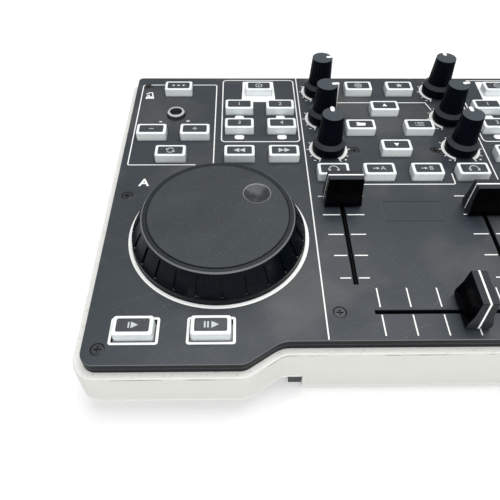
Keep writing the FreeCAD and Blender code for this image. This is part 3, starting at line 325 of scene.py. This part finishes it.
def key_material():
    """Milky translucent white, its foot by the plate painted cooler and darker as shade."""
    shader = Shader("key", MILKY_WHITE, 0.30, Subsurface_Weight=0.25, Specular_IOR_Level=0.5)
    shader.principled.inputs["Subsurface Radius"].default_value = (2.0 * MM, 2.2 * MM, 2.4 * MM)
    # painted shade: darker towards the foot, where the key meets the plate
    foot = shader.between(shader.axis("Z"), PLATE_TOP, PLATE_TOP + 1.3, 0.5, 0.0)
    shader.paint(foot, KEY_FOOT_SHADE)
    shader.patches(KEY_YELLOWED, amount=0.3, size=4.0, detail=4.0, low=0.55, high=0.75)
    return shader.grain(size=0.4, detail=1.0, depth=0.015, strength=0.3).material


def label_material():
    """Dark key label, a little rubbed."""
    shader = Shader("label", LABEL_BLUE, 0.38)
    shader.patches(LABEL_RUBBED, amount=0.5, size=1.5, detail=5.0, low=0.5, high=0.75)
    return shader.grain(size=0.3, detail=1.0, depth=0.01, strength=0.3).material


def print_material():
    """White screen print with thin patches."""
    shader = Shader("print", PRINT_WHITE, 0.5)
    shader.patches(PRINT_THIN, amount=0.35, size=0.8, detail=3.0, low=0.64, high=0.74)
    return shader.grain(size=0.3, detail=1.0, depth=0.01, strength=0.3).material


def icon_material():
    """Grey print on the labels, thinner than the plate's."""
    shader = Shader("icon", ICON_GREY, 0.5)
    shader.patches(ICON_THIN, amount=0.45, size=0.5, detail=3.0, low=0.55, high=0.7)
    return shader.material


def knob_material():
    """Near-black plastic; its end and the cone of its skirt are painted grey as lit faces."""
    shader = Shader("knob", KNOB_BLACK, 0.34, Specular_IOR_Level=0.08)
    height = shader.axis("Z")
    # painted light: the upward end and the skirt's cone are painted grey over the black
    shader.paint(shader.above(height, PLATE_TOP + KNOB_RISE, 0.02), KNOB_END_LIGHT)
    low, high = SKIRT_RISE
    shader.paint(shader.band(height, PLATE_TOP + low, PLATE_TOP + high, 0.2), SKIRT_LIGHT)
    shader.uneven(size=3.0, detail=4.0, smooth=0.28, dull=0.44)
    return shader.grain(size=0.3, detail=1.0, depth=0.02, strength=0.3).material


def cap_material(name, end_axis):
    """Black gloss flanks; the ends and top painted grey as lit faces, picked by which way each face
    points.
    """
    shader = Shader(name, CAP_BLACK, 0.18, Specular_IOR_Level=0.05)
    # painted light: faces pointing along the cap or up are painted grey
    shader.paint(shader.above(shader.facing(end_axis), 0.85, 0.05), CAP_END_LIGHT)
    shader.paint(shader.above(shader.facing("Z"), 0.85, 0.05), CAP_TOP_LIGHT)
    shader.uneven(size=4.0, detail=4.0, smooth=0.2, dull=0.34, low=0.35, high=0.75)
    return shader.grain(size=0.5, detail=1.0, depth=0.01, strength=0.12).material


def jog_material():
    """Glossy black: upward faces such as the rim's top painted a little lighter as lit, a painted
    highlight on the chamfer, over a cone with faint warm upright streaks.
    """
    shader = Shader("jog", JOG_BLACK, 0.18, Specular_IOR_Level=0.09)
    facing = shader.facing("Z")
    # faint warm upright streaks over the black
    shader.patches(JOG_STREAK, amount=0.4, size=9.0, detail=6.0, low=0.58, high=0.74,
                   stretch=(0.6, 0.6, 2.5))
    # painted highlight: faces tilted like the chamfer are painted bright
    shader.paint(shader.band(facing, 0.60, 0.80, 0.08), JOG_CHAMFER_HIGHLIGHT)
    # painted light: faces pointing up are painted a little lighter
    shader.paint(shader.above(facing, 0.93, 0.03), JOG_TOP_LIGHT)
    shader.patches(JOG_SPECK, amount=0.5, size=0.5, detail=1.0, low=0.77, high=0.81)
    shader.uneven(size=6.0, detail=5.0, smooth=0.16, dull=0.34)
    return shader.grain(size=0.6, detail=1.0, depth=0.01, strength=0.2).material


def disc_material():
    """Dark touch plate with wiped streaks and dust, its finger rest polished, with a painted highlight
    round the rest's edge and painted shade in a dark ring along the gap at its outer edge.
    """
    shader = Shader("disc", DISC_BLUE, 0.50, Specular_IOR_Level=0.38)
    shader.patches(DISC_PALE, amount=0.5, size=16.0, detail=4.0, low=0.4, high=0.7)
    shader.patches(DISC_SMUDGE, amount=0.55, size=17.0, detail=6.0, low=0.53, high=0.62,
                   stretch=(1.7, 1, 1), turn=0.4)
    for turn, color in ((0.5, DISC_WIPED), (-0.7, DISC_WIPED), (1.1, DISC_HAZE), (-0.3, DISC_HAZE)):
        shader.patches(color, amount=0.4, size=0.7, detail=3.0, low=0.66, high=0.76,
                       stretch=(16, 1, 1), turn=turn, swirl=0.5)
    shader.patches(DISC_SPECK, amount=0.6, size=0.5, detail=1.0, low=0.74, high=0.78)
    height = shader.axis("Z")
    rest = shader.below(height, DISC_TOP - 0.10, 0.04)
    shader.paint(rest, REST_DARK)
    rubbed = shader.between(shader.noise(size=1.6, detail=5.0), 0.45, 0.7, 0.1, 0.5)
    shader.paint(shader.math("MULTIPLY", rest, rubbed), REST_RUBBED)
    # painted highlight round the rest's edge
    shader.paint(shader.band(height, DISC_TOP - 0.20, DISC_TOP - 0.06, 0.03), REST_EDGE_HIGHLIGHT, amount=0.7)
    # painted shade: a dark ring along the gap at the disc's outer edge
    shader.paint(shader.between(shader.reach(*JOG_AXIS), JOG_EDGE - 0.45, JOG_EDGE - 0.3), GAP_SHADE)
    shader.rough(shader.between(rest, 0.0, 1.0, 0.50, 0.22))
    return shader.grain(size=0.3, detail=2.0, depth=0.02, strength=0.4).material


def rotor_material():
    """Dark collar with a worn silver edge round its bore."""
    shader = Shader("rotor", COLLAR_GREY, 0.32, Metallic=0.3)
    edge = shader.between(shader.axis("Z"), PLATE_TOP + 2.0, PLATE_TOP + 2.3)
    shader.paint(edge, COLLAR_WORN)
    shader.patches(COLLAR_RUBBED, amount=0.5, size=1.2, detail=4.0, low=0.5, high=0.7)
    return shader.grain(size=0.3, detail=1.0, depth=0.01, strength=0.3).material


def simple_material(name, color, roughness, second, size, **settings):
    """Moulded plastic, rubber or metal with a second tone in patches of a size."""
    shader = Shader(name, color, roughness, **settings)
    shader.patches(second, amount=0.6, size=size, detail=4.0, low=0.42, high=0.68)
    return shader.grain(size=size / 6, detail=2.0, depth=0.02, strength=0.4).material


CASING, PLATE, KEY, LABEL = casing_material(), plate_material(), key_material(), label_material()
PRINT, ICON, KNOB, JOG, DISC = (print_material(), icon_material(), knob_material(), jog_material(),
                                disc_material())
CAP_ALONG_Y = cap_material("cap_y", "Y")
CAP_ALONG_X = cap_material("cap_x", "X")
RUBBER = simple_material("rubber", (0.055, 0.060, 0.065), 0.7, (0.085, 0.09, 0.095), 3.0)
SCREW = simple_material("screw", (0.032, 0.035, 0.038), 0.33, (0.06, 0.062, 0.065), 1.0, Metallic=0.5)
LENS = simple_material("lens", (0.94, 0.95, 0.94), 0.25, (0.84, 0.86, 0.86), 1.5)
ROTOR = rotor_material()
BOARD = simple_material("board", (0.02, 0.12, 0.045), 0.4, (0.03, 0.16, 0.06), 4.0)
PARTS = simple_material("parts", (0.02, 0.02, 0.022), 0.45, (0.05, 0.05, 0.05), 2.0)
STEEL = simple_material("steel", (0.50, 0.50, 0.50), 0.3, (0.38, 0.38, 0.38), 2.0, Metallic=1.0)

NODE_MATERIALS = {
    "bottom_case": CASING, "front_fascia": CASING, "top_plate": PLATE, "circuit_board": BOARD,
    "board_parts": PARTS, "indicator_leds": LENS, "usb_socket": STEEL, "screws": SCREW,
    "rubber_feet": RUBBER, "crossfader": CAP_ALONG_Y, "volume": CAP_ALONG_X, "treble": KNOB,
    "medium": KNOB, "bass": KNOB, "jog_wheel": JOG, "jog_disc": DISC, "encoder": ROTOR}
for node, thing in frame["nodes"].items():
    family = node if node in NODE_MATERIALS else node.rsplit("_", 1)[0]
    material = NODE_MATERIALS.get(family, KEY)
    for slot in thing.material_slots:
        slot.material = material


# ------------------------------------------------------------ flat shapes, mm

def ribbon(points, width, closed=False):
    """Quads of a line of a width through points, mitred at its corners."""
    count = len(points)
    sides = []
    for index, point in enumerate(points):
        before = points[index - 1] if closed or index else None
        after = points[(index + 1) % count] if closed or index < count - 1 else None
        turns = [Vector(end) - Vector(start) for start, end in ((before, point), (point, after))
                 if start is not None and end is not None]
        normals = [Vector((-turn.y, turn.x)).normalized() for turn in turns]
        middle = sum(normals, Vector((0, 0))).normalized()
        reach = width / 2 / max(middle.dot(normals[0]), 0.3)
        sides.append((Vector(point) + middle * reach, Vector(point) - middle * reach))
    spans = range(count if closed else count - 1)
    return [[sides[index][0], sides[index][1], sides[(index + 1) % count][1],
             sides[(index + 1) % count][0]] for index in spans]


def arc(x, y, radius, start, end, steps=24):
    """Points of an arc, its angles in degrees."""
    angles = [math.radians(start + (end - start) * step / steps) for step in range(steps + 1)]
    return [(x + radius * math.cos(angle), y + radius * math.sin(angle)) for angle in angles]


def ring(x, y, inner, outer, steps=96):
    return ribbon(arc(x, y, (inner + outer) / 2, 0, 360, steps)[:-1], outer - inner, closed=True)


def rounded(corners, radius, steps=5, closed=True):
    """A path through corners with its turns rounded."""
    points = []
    count = len(corners)
    for index, corner in enumerate(corners):
        if not closed and index in (0, count - 1):
            points.append(corner)
            continue
        here = Vector(corner)
        start = here + (Vector(corners[index - 1]) - here).normalized() * radius
        end = here + (Vector(corners[(index + 1) % count]) - here).normalized() * radius
        for step in range(steps + 1):
            along = step / steps
            points.append(tuple(start * (1 - along) ** 2 + here * 2 * along * (1 - along)
                                + end * along ** 2))
    return points


def rectangle(x, y, width, depth):
    return [(x - width / 2, y - depth / 2), (x + width / 2, y - depth / 2),
            (x + width / 2, y + depth / 2), (x - width / 2, y + depth / 2)]


def disc(x, y, radius, steps=32):
    return arc(x, y, radius, 0, 360, steps)[:-1]


def moved(shapes, x, y, turn=0.0):
    """Shapes turned about the origin and then moved."""
    cosine, sine = math.cos(math.radians(turn)), math.sin(math.radians(turn))
    return [[(x + cosine * px - sine * py, y + sine * px + cosine * py) for px, py in shape]
            for shape in shapes]


def mirrored(shapes):
    return [[(-x, y) for x, y in reversed([tuple(point) for point in shape])] for shape in shapes]


def build(name, faces, material, body):
    """A piece made of faces, each a list of points in millimetres."""
    mesh = bpy.data.meshes.new(name)
    points = [tuple(value * MM for value in point) for face in faces for point in face]
    indices, start = [], 0
    for face in faces:
        indices.append(list(range(start, start + len(face))))
        start += len(face)
    mesh.from_pydata(points, [], indices)
    mesh.materials.append(material)
    thing = bpy.data.objects.new(name, mesh)
    bpy.context.scene.collection.objects.link(thing)
    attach(thing, body)
    return thing


def lay(name, shapes, height, material, body):
    """Flat shapes laid at a height and facing up."""
    faces = []
    for shape in shapes:
        points = [(point[0], point[1]) for point in shape]
        area = sum(first[0] * second[1] - second[0] * first[1]
                   for first, second in zip(points, points[1:] + points[:1]))
        if area < 0:
            points.reverse()
        faces.append([(x, y, height) for x, y in points])
    return build(name, faces, material, body)


def glyph(text, size, weight=0.0):
    """Outlines of plain characters about the origin, as flat faces in millimetres."""
    curve = bpy.data.curves.new("glyph", "FONT")
    curve.body = text
    curve.size = size
    curve.offset = weight
    curve.align_x, curve.align_y = "CENTER", "CENTER"
    thing = bpy.data.objects.new("glyph", curve)
    bpy.context.scene.collection.objects.link(thing)
    mesh = bpy.data.meshes.new_from_object(thing.evaluated_get(bpy.context.evaluated_depsgraph_get()))
    shapes = [[tuple(mesh.vertices[index].co.xy) for index in face.vertices] for face in mesh.polygons]
    bpy.data.objects.remove(thing)
    bpy.data.curves.remove(curve)
    bpy.data.meshes.remove(mesh)
    return shapes


def middle_of(node):
    low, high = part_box(node)
    return (low[0] + high[0]) / 2 / MM, (low[1] + high[1]) / 2 / MM


# -------------------------------------------------------------------- icons

def triangle(x, y, size, turn=0.0):
    return moved([[(-size * 0.5, -size * 0.6), (size * 0.6, 0), (-size * 0.5, size * 0.6)]],
                 x, y, turn)


def bar(x, y, width, depth):
    return [rectangle(x, y, width, depth)]


def minus_sign(length, width):
    return bar(0, 0, length, width)


def plus_sign(length, width):
    return bar(0, 0, length, width) + bar(0, 0, width, length)


def source_icon():
    return ring(0, 0, 1.6, 2.1, 32) + [disc(0, 0, 0.5)]


def metronome_icon():
    return (ribbon([(-2.2, -2.9), (2.2, -2.9), (1.0, 3.1), (-1.0, 3.1)], 0.7, closed=True)
            + bar(0, -1.8, 3.4, 2.0) + ribbon([(0.2, -1.2), (-2.4, 2.6)], LINE)
            + moved(bar(0, 0, 1.5, 1.0), -1.6, 1.4, 124))


def headphones_icon():
    return (ribbon(arc(0, -0.5, 2.3, 0, 180), THIN) + moved(bar(0, 0, 1.1, 1.9), -2.3, -1.0, 12)
            + moved(bar(0, 0, 1.1, 1.9), 2.3, -1.0, -12))


def folder_icon():
    return [[(-2.7, -1.5), (2.2, -1.5), (2.8, 0.8), (-2.1, 0.8)],
            [(-2.7, 0.9), (-2.7, 1.6), (-1.0, 1.6), (-0.6, 1.15), (2.3, 1.15), (2.3, 0.95)]]


def list_icon():
    rows = [bar(0.5, row, 3.8, 0.45) + bar(-2.3, row, 0.6, 0.5) for row in (-1.3, 0, 1.3)]
    return [shape for row in rows for shape in row]


def star_icon():
    points = []
    for step in range(10):
        angle = math.radians(90 + 36 * step)
        reach = 2.2 if step % 2 == 0 else 0.95
        points.append((reach * math.cos(angle), reach * math.sin(angle)))
    return [points]


def sync_icon():
    arrows = []
    for turn in (0, 180):
        arrow = ribbon(arc(0, 0, 1.8, 20, 150), THIN) + triangle(-1.75, 0.6, 1.5, -110)
        arrows += moved(arrow, 0, 0, turn)
    return arrows


def load_icon(letter):
    arrow = ribbon([(-3.6, 0), (-1.6, 0)], THIN) + triangle(-1.0, 0, 1.5)
    return moved(glyph(letter, 4.0), 1.7, 0) + arrow


ICONS = {
    "cue": bar(-1.6, 0, 0.6, 2.8) + triangle(0.6, 0, 2.6),
    "play": bar(-2.4, 0, 0.7, 2.9) + bar(-1.1, 0, 0.7, 2.9) + triangle(1.6, 0, 2.7),
    "sync": sync_icon(),
    "rewind": triangle(-1.5, 0, 2.8, 180) + triangle(1.6, 0, 2.8, 180),
    "forward": triangle(-1.6, 0, 2.8) + triangle(1.5, 0, 2.8),
    "source": source_icon(),
    "pitch_reset": [disc(x, 0, 0.75) for x in (-3.0, 0, 3.0)],
    "pitch_minus": minus_sign(2.6, THIN),
    "pitch_plus": plus_sign(2.6, THIN),
    "vinyl": ring(0, 0, 1.7, 2.2, 32) + ring(0, 0, 0.4, 0.9, 20),
    "magic": star_icon(),
    "up": triangle(0, 0.1, 2.4, 90),
    "down": triangle(0, -0.1, 2.4, -90),
    "folder": folder_icon(),
    "files": list_icon(),
    "headphones": headphones_icon(),
    "load_a": load_icon("A"),
    "load_b": load_icon("B"),
}
ICONS.update({f"pad_{number}": glyph(str(number), 4.2) for number in range(1, 5)})
SOLID_ICONS = ("up", "down", "folder")  # printed in full white, the others in a greyer ink

LABEL_SIZE = (13.2, 6.2)
LABEL_CORNER = 0.9


def dress_keys():
    """A dark label and its icon on each key."""
    for node in frame["nodes"]:
        name = node if node in ICONS else node.rsplit("_", 1)[0]
        if name not in ICONS:
            continue
        x, y = middle_of(node)
        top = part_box(node)[1][2] / MM
        label = rounded(rectangle(x, y, *LABEL_SIZE), LABEL_CORNER)
        lay(f"label.{node}", [label], top + INK, LABEL, node)
        ink = PRINT if name in SOLID_ICONS else ICON
        lay(f"icon.{node}", moved(ICONS[name], x, y), top + 2 * INK, ink, node)


# ------------------------------------------------------------------- knobs

SCALE_START, SCALE_END = -60, 240       # where a tone knob's travel stops, degrees
SCALE_STEP = 30
SCALE_RING = (8.65, 10.45)              # radii of the printed scale, mm
SCALE_TICKS = (10.2, 11.9)
SCALE_SIGNS = 12.3                      # radius of its plus and minus
MINUS_PLACE, PLUS_PLACE = -131, -46     # degrees

POINTER_HALF = 1.05                     # half the width of a tone knob's pointer, mm
POINTER_START, POINTER_END = 3.5, 5.65  # middles of its round ends, from the knob's axis
FIN_FOOT = 6.0                          # middle of the fin's round foot
FIN_RISE = 7.0                          # height of the foot above the plate


def pointer(node, angle):
    """A tone knob's white pointer: a rounded mark on its end and a fin down to its skirt."""
    x, y = middle_of(node)
    top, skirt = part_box(node)[1][2] / MM + INK / 3, PLATE_TOP + FIN_RISE
    crown = (arc(POINTER_START, 0, POINTER_HALF, 90, 270, 8)
             + arc(POINTER_END, 0, POINTER_HALF, -90, 90, 8))
    foot = arc(FIN_FOOT, 0, POINTER_HALF, -90, 90, 8)
    crown, foot = moved([crown, foot], x, y, angle)
    rim = crown[-len(foot):]
    faces = [[(*point, top) for point in crown]]
    for first, second, low_first, low_second in zip(rim, rim[1:], foot, foot[1:]):
        faces.append([(*first, top), (*low_first, skirt), (*low_second, skirt), (*second, top)])
    build(f"pointer.{node}", faces, PRINT, node)


def knob_scale(x, y):
    """The printed scale round a tone knob: a ring, its ticks and a minus and a plus."""
    shapes = ribbon(arc(x, y, sum(SCALE_RING) / 2, SCALE_START, SCALE_END, 72),
                    SCALE_RING[1] - SCALE_RING[0])
    for degrees in range(SCALE_START, SCALE_END + 1, SCALE_STEP):
        tick = math.radians(degrees)
        shapes += ribbon([(x + reach * math.cos(tick), y + reach * math.sin(tick))
                          for reach in SCALE_TICKS], THIN)
    for degrees, sign in ((MINUS_PLACE, minus_sign(1.3, 0.45)), (PLUS_PLACE, plus_sign(1.3, 0.45))):
        place = math.radians(degrees)
        shapes += moved(sign, x + SCALE_SIGNS * math.cos(place), y + SCALE_SIGNS * math.sin(place))
    return shapes


def dress_knobs():
    """The pointer on each tone knob and the scale round it on the plate."""
    scales = []
    for joint in frame["record"]["behaviour"]["joints"]:
        node = joint["name"].removesuffix("_turn")
        if NODE_MATERIALS.get(node.rsplit("_", 1)[0]) is not KNOB:
            continue
        pointer(node, SCALE_END - joint["range_deg"][1])
        scales += knob_scale(*middle_of(node))
    lay("knob_scales", scales, PLATE_TOP + INK, PRINT, "controller")


# ------------------------------------------------------------------- faders

CAP_LINE_HALF = 0.42                    # half the width of the white line over a cap, mm
CAP_FOOT, CAP_CREST = 9.0, 8.3          # half lengths of a cap at its foot and its top
CAP_HEIGHTS = (1.0, 3.8, 17.0)          # foot, shoulder and top of a cap's ends above the plate


def dress_caps():
    """The white line over each fader cap and down both its ends."""
    foot, shoulder, top = (PLATE_TOP + height for height in CAP_HEIGHTS)
    half = [(CAP_CREST, top, 1, 1), (CAP_FOOT, shoulder, 1, 0), (CAP_FOOT, foot, 1, 0)]
    profile = [(-place, height, -out, up) for place, height, out, up in reversed(half)] + half
    path = [(place + 1.5 * INK * out, height + 1.5 * INK * up) for place, height, out, up in profile]
    for node, along in (("crossfader", "y"), ("volume_a", "x"), ("volume_b", "x")):
        x, y = middle_of(node)
        faces = []
        for (start, start_z), (end, end_z) in zip(path, path[1:]):
            corners = [(-CAP_LINE_HALF, start, start_z), (CAP_LINE_HALF, start, start_z),
                       (CAP_LINE_HALF, end, end_z), (-CAP_LINE_HALF, end, end_z)]
            if along == "x":
                corners = [(place, -across, height) for across, place, height in corners]
            faces.append([(x + dx, y + dy, height) for dx, dy, height in corners])
        build(f"cap_line.{node}", faces, PRINT, node)


# -------------------------------------------------------------- plate print

JOG_RING = (40.3, 42.0)                 # radii of the ring round a jog wheel, mm
BORDER_SIZE, BORDER_CORNER = (18.8, 11.8), 0.8
DECK_LETTER = (133.7, 35.8)             # from the middle of the plate, from the jog's axis
LETTER_SIZE, LETTER_WEIGHT = 7.5, 0.18
MINUS_OFFSET, PLUS_OFFSET = (-8.5, -6.5), (7.1, -5.9)   # from the encoder's axis
METRONOME_OFFSET = (-17.3, -4.1)        # from the pitch reset key

# how far the frames reach from the keys inside them: left, right, back, front
PITCH_FRAME = (22.4, 22.8, 7.5, 6.6)
PADS_FRAME = (21.9, 21.6, 12.7, 11.35)
PITCH_CUT = 0.8                         # the cut at the pitch frame's back corner
FRAME_CORNER, PADS_CORNER, CUT_CORNER = 1.5, 2.5, 1.0   # how far frames' corners are rounded
SCREW_GAP = 4.6                         # the pitch frame's back line starts beyond a screw
KEY_GAP = 8.2                           # and stops either side of the pitch reset key
JOG_GAP = 13.4                          # its front line stops at the jog wheel
CORNER_GAP = 1.1                        # its right line stops short of the front line
SOURCE_FIELD = ((-10.5, -10.6), (9.85, -10.6), (9.1, 11.1), (-9.7, 11.1))   # from the source key


def pitch_frame():
    """The broken frame round the pitch keys of the left deck."""
    (x, back), front = middle_of("pitch_reset_a"), middle_of("sync_a")[1]
    left, right = x - PITCH_FRAME[0], x + PITCH_FRAME[1]
    back, front = back + PITCH_FRAME[2], front - PITCH_FRAME[3]
    corners = [(left + PITCH_CUT, back), (left, back - PITCH_CUT), (left, front), (x + JOG_GAP, front)]
    shapes = ribbon(rounded(corners, CUT_CORNER, closed=False), LINE)
    shapes += ribbon([(left + SCREW_GAP, back), (x - KEY_GAP, back)], LINE)
    corners = [(x + KEY_GAP, back), (right, back), (right, front + CORNER_GAP)]
    return shapes + ribbon(rounded(corners, FRAME_CORNER, closed=False), LINE)


def pads_frame():
    """The frame round the left deck's pads and the white field under its source key."""
    (x, y), front = middle_of("source_a"), middle_of("pad_3_a")[1] - PADS_FRAME[3]
    left, right, back = x - PADS_FRAME[0], x + PADS_FRAME[1], y + PADS_FRAME[2]
    corners = [(left, front), (right, front), (right, back), (left, back)]
    field = [(x + dx, y + dy) for dx, dy in SOURCE_FIELD]
    return ribbon(rounded(corners, PADS_CORNER), LINE, closed=True) + [field]


def deck_print(sign):
    """Frames, rings and marks of the left deck, mirrored for the right one."""
    shapes = ring(*middle_of("jog_wheel_a"), *JOG_RING) + pitch_frame() + pads_frame()
    for name in ("cue_a", "play_a"):
        border = rounded(rectangle(*middle_of(name), *BORDER_SIZE), BORDER_CORNER)
        shapes += ribbon(border, KEY_BORDER, closed=True)
    x, y = middle_of("pitch_reset_a")
    shapes += moved(metronome_icon(), x + METRONOME_OFFSET[0], y + METRONOME_OFFSET[1])
    return mirrored(shapes) if sign > 0 else shapes


def deck_marks(sign, deck):
    """The deck's letter and the signs beside its encoder, which read the same way on both decks."""
    letter = glyph(deck.upper(), LETTER_SIZE, LETTER_WEIGHT)
    across, up = DECK_LETTER
    shapes = moved(letter, sign * across, middle_of(f"jog_wheel_{deck}")[1] + up)
    x, y = middle_of(f"encoder_{deck}")
    for mark, (dx, dy) in ((minus_sign(1.7, BOLD), MINUS_OFFSET), (plus_sign(1.9, BOLD), PLUS_OFFSET)):
        shapes += moved(mark, x + dx, y + dy)
    return shapes


DIVIDER = 49.3                          # from the middle to the lines beside the decks, mm
DIVIDER_ENDS = (10.6, 0.6)              # from the plate's front and back edges
BROWSE_BACK, BROWSE_FRONT = (26.9, 9.1), (29.0, 1.5)    # frame over the up key: half width, rise
LOAD_FRONT, LOAD_BACK = (26.3, -7.3), (26.3, 1.0)       # frame under the load keys
VOLUME_TICKS = 5
VOLUME_DROP = 16.05                     # from the load keys to the first tick
VOLUME_STEP = 12.9
VOLUME_REACH, VOLUME_TAPER = 11.3, 1.2  # the ticks' reach, and how much shorter each next one is
VOLUME_GAP = 1.7                        # half the gap that the slot leaves
CROSSFADER_STEP = 13.0
CROSSFADER_TICKS = ((2.4, 12.3), (-1.5, -11.6))         # behind and in front of the slot


def volume_ticks(x, y):
    """The scale of a volume fader, which narrows towards the front."""
    shapes = []
    for step in range(VOLUME_TICKS):
        reach = VOLUME_REACH - VOLUME_TAPER * step
        row = y - VOLUME_DROP - VOLUME_STEP * step
        for way in (-1, 1):
            shapes += ribbon([(x + way * VOLUME_GAP, row), (x + way * reach, row)], LINE)
    return shapes


def middle_print():
    """Frame of the browsing keys, dividers and the faders' scales."""
    shapes = []
    low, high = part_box("top_plate")
    front, back = low[1] / MM + DIVIDER_ENDS[0], high[1] / MM - DIVIDER_ENDS[1]
    up_y, load_y = middle_of("up")[1], middle_of("load_a")[1]
    for side in (-1, 1):
        shapes += ribbon([(side * DIVIDER, front), (side * DIVIDER, back)], LINE)
        shapes += ribbon([(0, up_y + BROWSE_BACK[1]), (side * BROWSE_BACK[0], up_y + BROWSE_BACK[1]),
                          (side * BROWSE_FRONT[0], up_y + BROWSE_FRONT[1])], LINE)
        corners = [(0, load_y + LOAD_FRONT[1]), (side * LOAD_FRONT[0], load_y + LOAD_FRONT[1]),
                   (side * LOAD_BACK[0], load_y + LOAD_BACK[1])]
        shapes += ribbon(rounded(corners, FRAME_CORNER, closed=False), LINE)
    for node in ("volume_a", "volume_b"):
        shapes += volume_ticks(middle_of(node)[0], load_y)
    slot_y = middle_of("crossfader")[1]
    for step in range(-2, 3):
        for near, far in CROSSFADER_TICKS:
            shapes += ribbon([(CROSSFADER_STEP * step, slot_y + near),
                              (CROSSFADER_STEP * step, slot_y + far)], LINE)
    return shapes


def dress_plate():
    """All print on the plate but the knobs' scales."""
    lay("middle_print", middle_print(), PLATE_TOP + INK, PRINT, "controller")
    for deck, sign in DECKS.items():
        shapes = deck_print(sign) + deck_marks(sign, deck)
        lay(f"deck_print.{deck}", shapes, PLATE_TOP + INK, PRINT, "controller")


# ------------------------------------------------- floor, lights and camera

FLOOR_WHITE = 0.80
FLOOR_REACH = 6.0               # half the floor's side, m
GLOW = (0.25, 1.0)              # what the camera sees besides the lit floor, near and far
GLOW_REACH = (0.3, 1.2)         # distances of near and far, m
WORLD = (0.41, 1.0)             # the world's strength on the object and to the camera
LAMPS = {                       # place, target and size in m, power in W
    "key_lamp": ((0.10, 0.22, 1.05), (0, 0, 0), 1.0, 9.0),
    "fill_lamp": ((0.0, -0.90, 0.6), (0, 0, 0.02), 0.9, 5.4)}

CAMERA_PLACE = (-0.08437, -0.19886, 0.21899)
CAMERA_YAW, CAMERA_PITCH, CAMERA_ROLL = 1.505, 49.41, -0.871    # degrees
CAMERA_LENS, CAMERA_SENSOR = 38.18, 36      # mm


def spread(node, source, target):
    """Sets a Map Range node to take one pair of values to another."""
    for name, value in zip(("From Min", "From Max", "To Min", "To Max"), source + target):
        node.inputs[name].default_value = value


def floor_material():
    """Plain white that keeps the shadow; the camera and reflections see it glow to white."""
    material = bpy.data.materials.new("floor")
    material.use_nodes = True
    nodes, links = material.node_tree.nodes, material.node_tree.links
    nodes.clear()
    output = nodes.new("ShaderNodeOutputMaterial")
    diffuse = nodes.new("ShaderNodeBsdfDiffuse")
    diffuse.inputs["Color"].default_value = (FLOOR_WHITE, FLOOR_WHITE, FLOOR_WHITE, 1)
    glow = nodes.new("ShaderNodeEmission")
    seen = nodes.new("ShaderNodeLightPath")
    rays = nodes.new("ShaderNodeMath")
    rays.operation = "ADD"
    links.new(seen.outputs["Is Camera Ray"], rays.inputs[0])
    links.new(seen.outputs["Is Glossy Ray"], rays.inputs[1])
    place = nodes.new("ShaderNodeTexCoord")
    reach = nodes.new("ShaderNodeVectorMath")
    reach.operation = "LENGTH"
    links.new(place.outputs["Object"], reach.inputs[0])
    far = nodes.new("ShaderNodeMapRange")
    spread(far, GLOW_REACH, GLOW)
    links.new(reach.outputs["Value"], far.inputs["Value"])
    level = nodes.new("ShaderNodeMath")
    level.operation = "MULTIPLY"
    links.new(rays.outputs[0], level.inputs[0])
    links.new(far.outputs[0], level.inputs[1])
    links.new(level.outputs[0], glow.inputs["Strength"])
    add = nodes.new("ShaderNodeAddShader")
    links.new(diffuse.outputs[0], add.inputs[0])
    links.new(glow.outputs[0], add.inputs[1])
    links.new(add.outputs[0], output.inputs["Surface"])
    return material


def lay_floor():
    """The floor that the object stands on."""
    mesh = bpy.data.meshes.new("floor")
    far = FLOOR_REACH
    mesh.from_pydata([(-far, -far, 0), (far, -far, 0), (far, far, 0), (-far, far, 0)], [], [(0, 1, 2, 3)])
    mesh.materials.append(floor_material())
    floor = bpy.data.objects.new("floor", mesh)
    bpy.context.scene.collection.objects.link(floor)


def light_studio():
    """An even pale world, white to the camera, and two soft lamps."""
    world = bpy.data.worlds.new("studio")
    bpy.context.scene.world = world
    world.use_nodes = True
    nodes, links = world.node_tree.nodes, world.node_tree.links
    background = nodes["Background"]
    background.inputs["Color"].default_value = (1, 1, 1, 1)
    path = nodes.new("ShaderNodeLightPath")
    strength = nodes.new("ShaderNodeMapRange")
    spread(strength, (0.0, 1.0), WORLD)
    links.new(path.outputs["Is Camera Ray"], strength.inputs["Value"])
    links.new(strength.outputs[0], background.inputs["Strength"])
    for name, (place, target, size, power) in LAMPS.items():
        light = bpy.data.lights.new(name, "AREA")
        light.size = size
        light.energy = power
        lamp = bpy.data.objects.new(name, light)
        lamp.location = place
        lamp.rotation_euler = (Vector(target) - Vector(place)).to_track_quat("-Z", "Y").to_euler()
        bpy.context.scene.collection.objects.link(lamp)


def place_camera():
    """A camera that looks down over the left deck and the middle from the front."""
    yaw, pitch, roll = (math.radians(angle) for angle in (CAMERA_YAW, CAMERA_PITCH, CAMERA_ROLL))
    ahead = Vector((math.sin(yaw) * math.cos(pitch), math.cos(yaw) * math.cos(pitch), -math.sin(pitch)))
    right = Vector((math.cos(yaw), -math.sin(yaw), 0))
    down = ahead.cross(right)
    across = right * math.cos(roll) + down * math.sin(roll)
    below = down * math.cos(roll) - right * math.sin(roll)
    data = bpy.data.cameras.new("camera")
    data.sensor_width = CAMERA_SENSOR
    data.lens = CAMERA_LENS
    camera = bpy.data.objects.new("camera", data)
    bpy.context.scene.collection.objects.link(camera)
    turn = Matrix((across, -below, -ahead)).transposed().to_4x4()
    camera.matrix_world = Matrix.Translation(CAMERA_PLACE) @ turn
    bpy.context.scene.camera = camera


dress_keys()
dress_knobs()
dress_caps()
dress_plate()
lay_floor()
light_studio()
place_camera()
bpy.context.scene.view_settings.view_transform = "Standard"
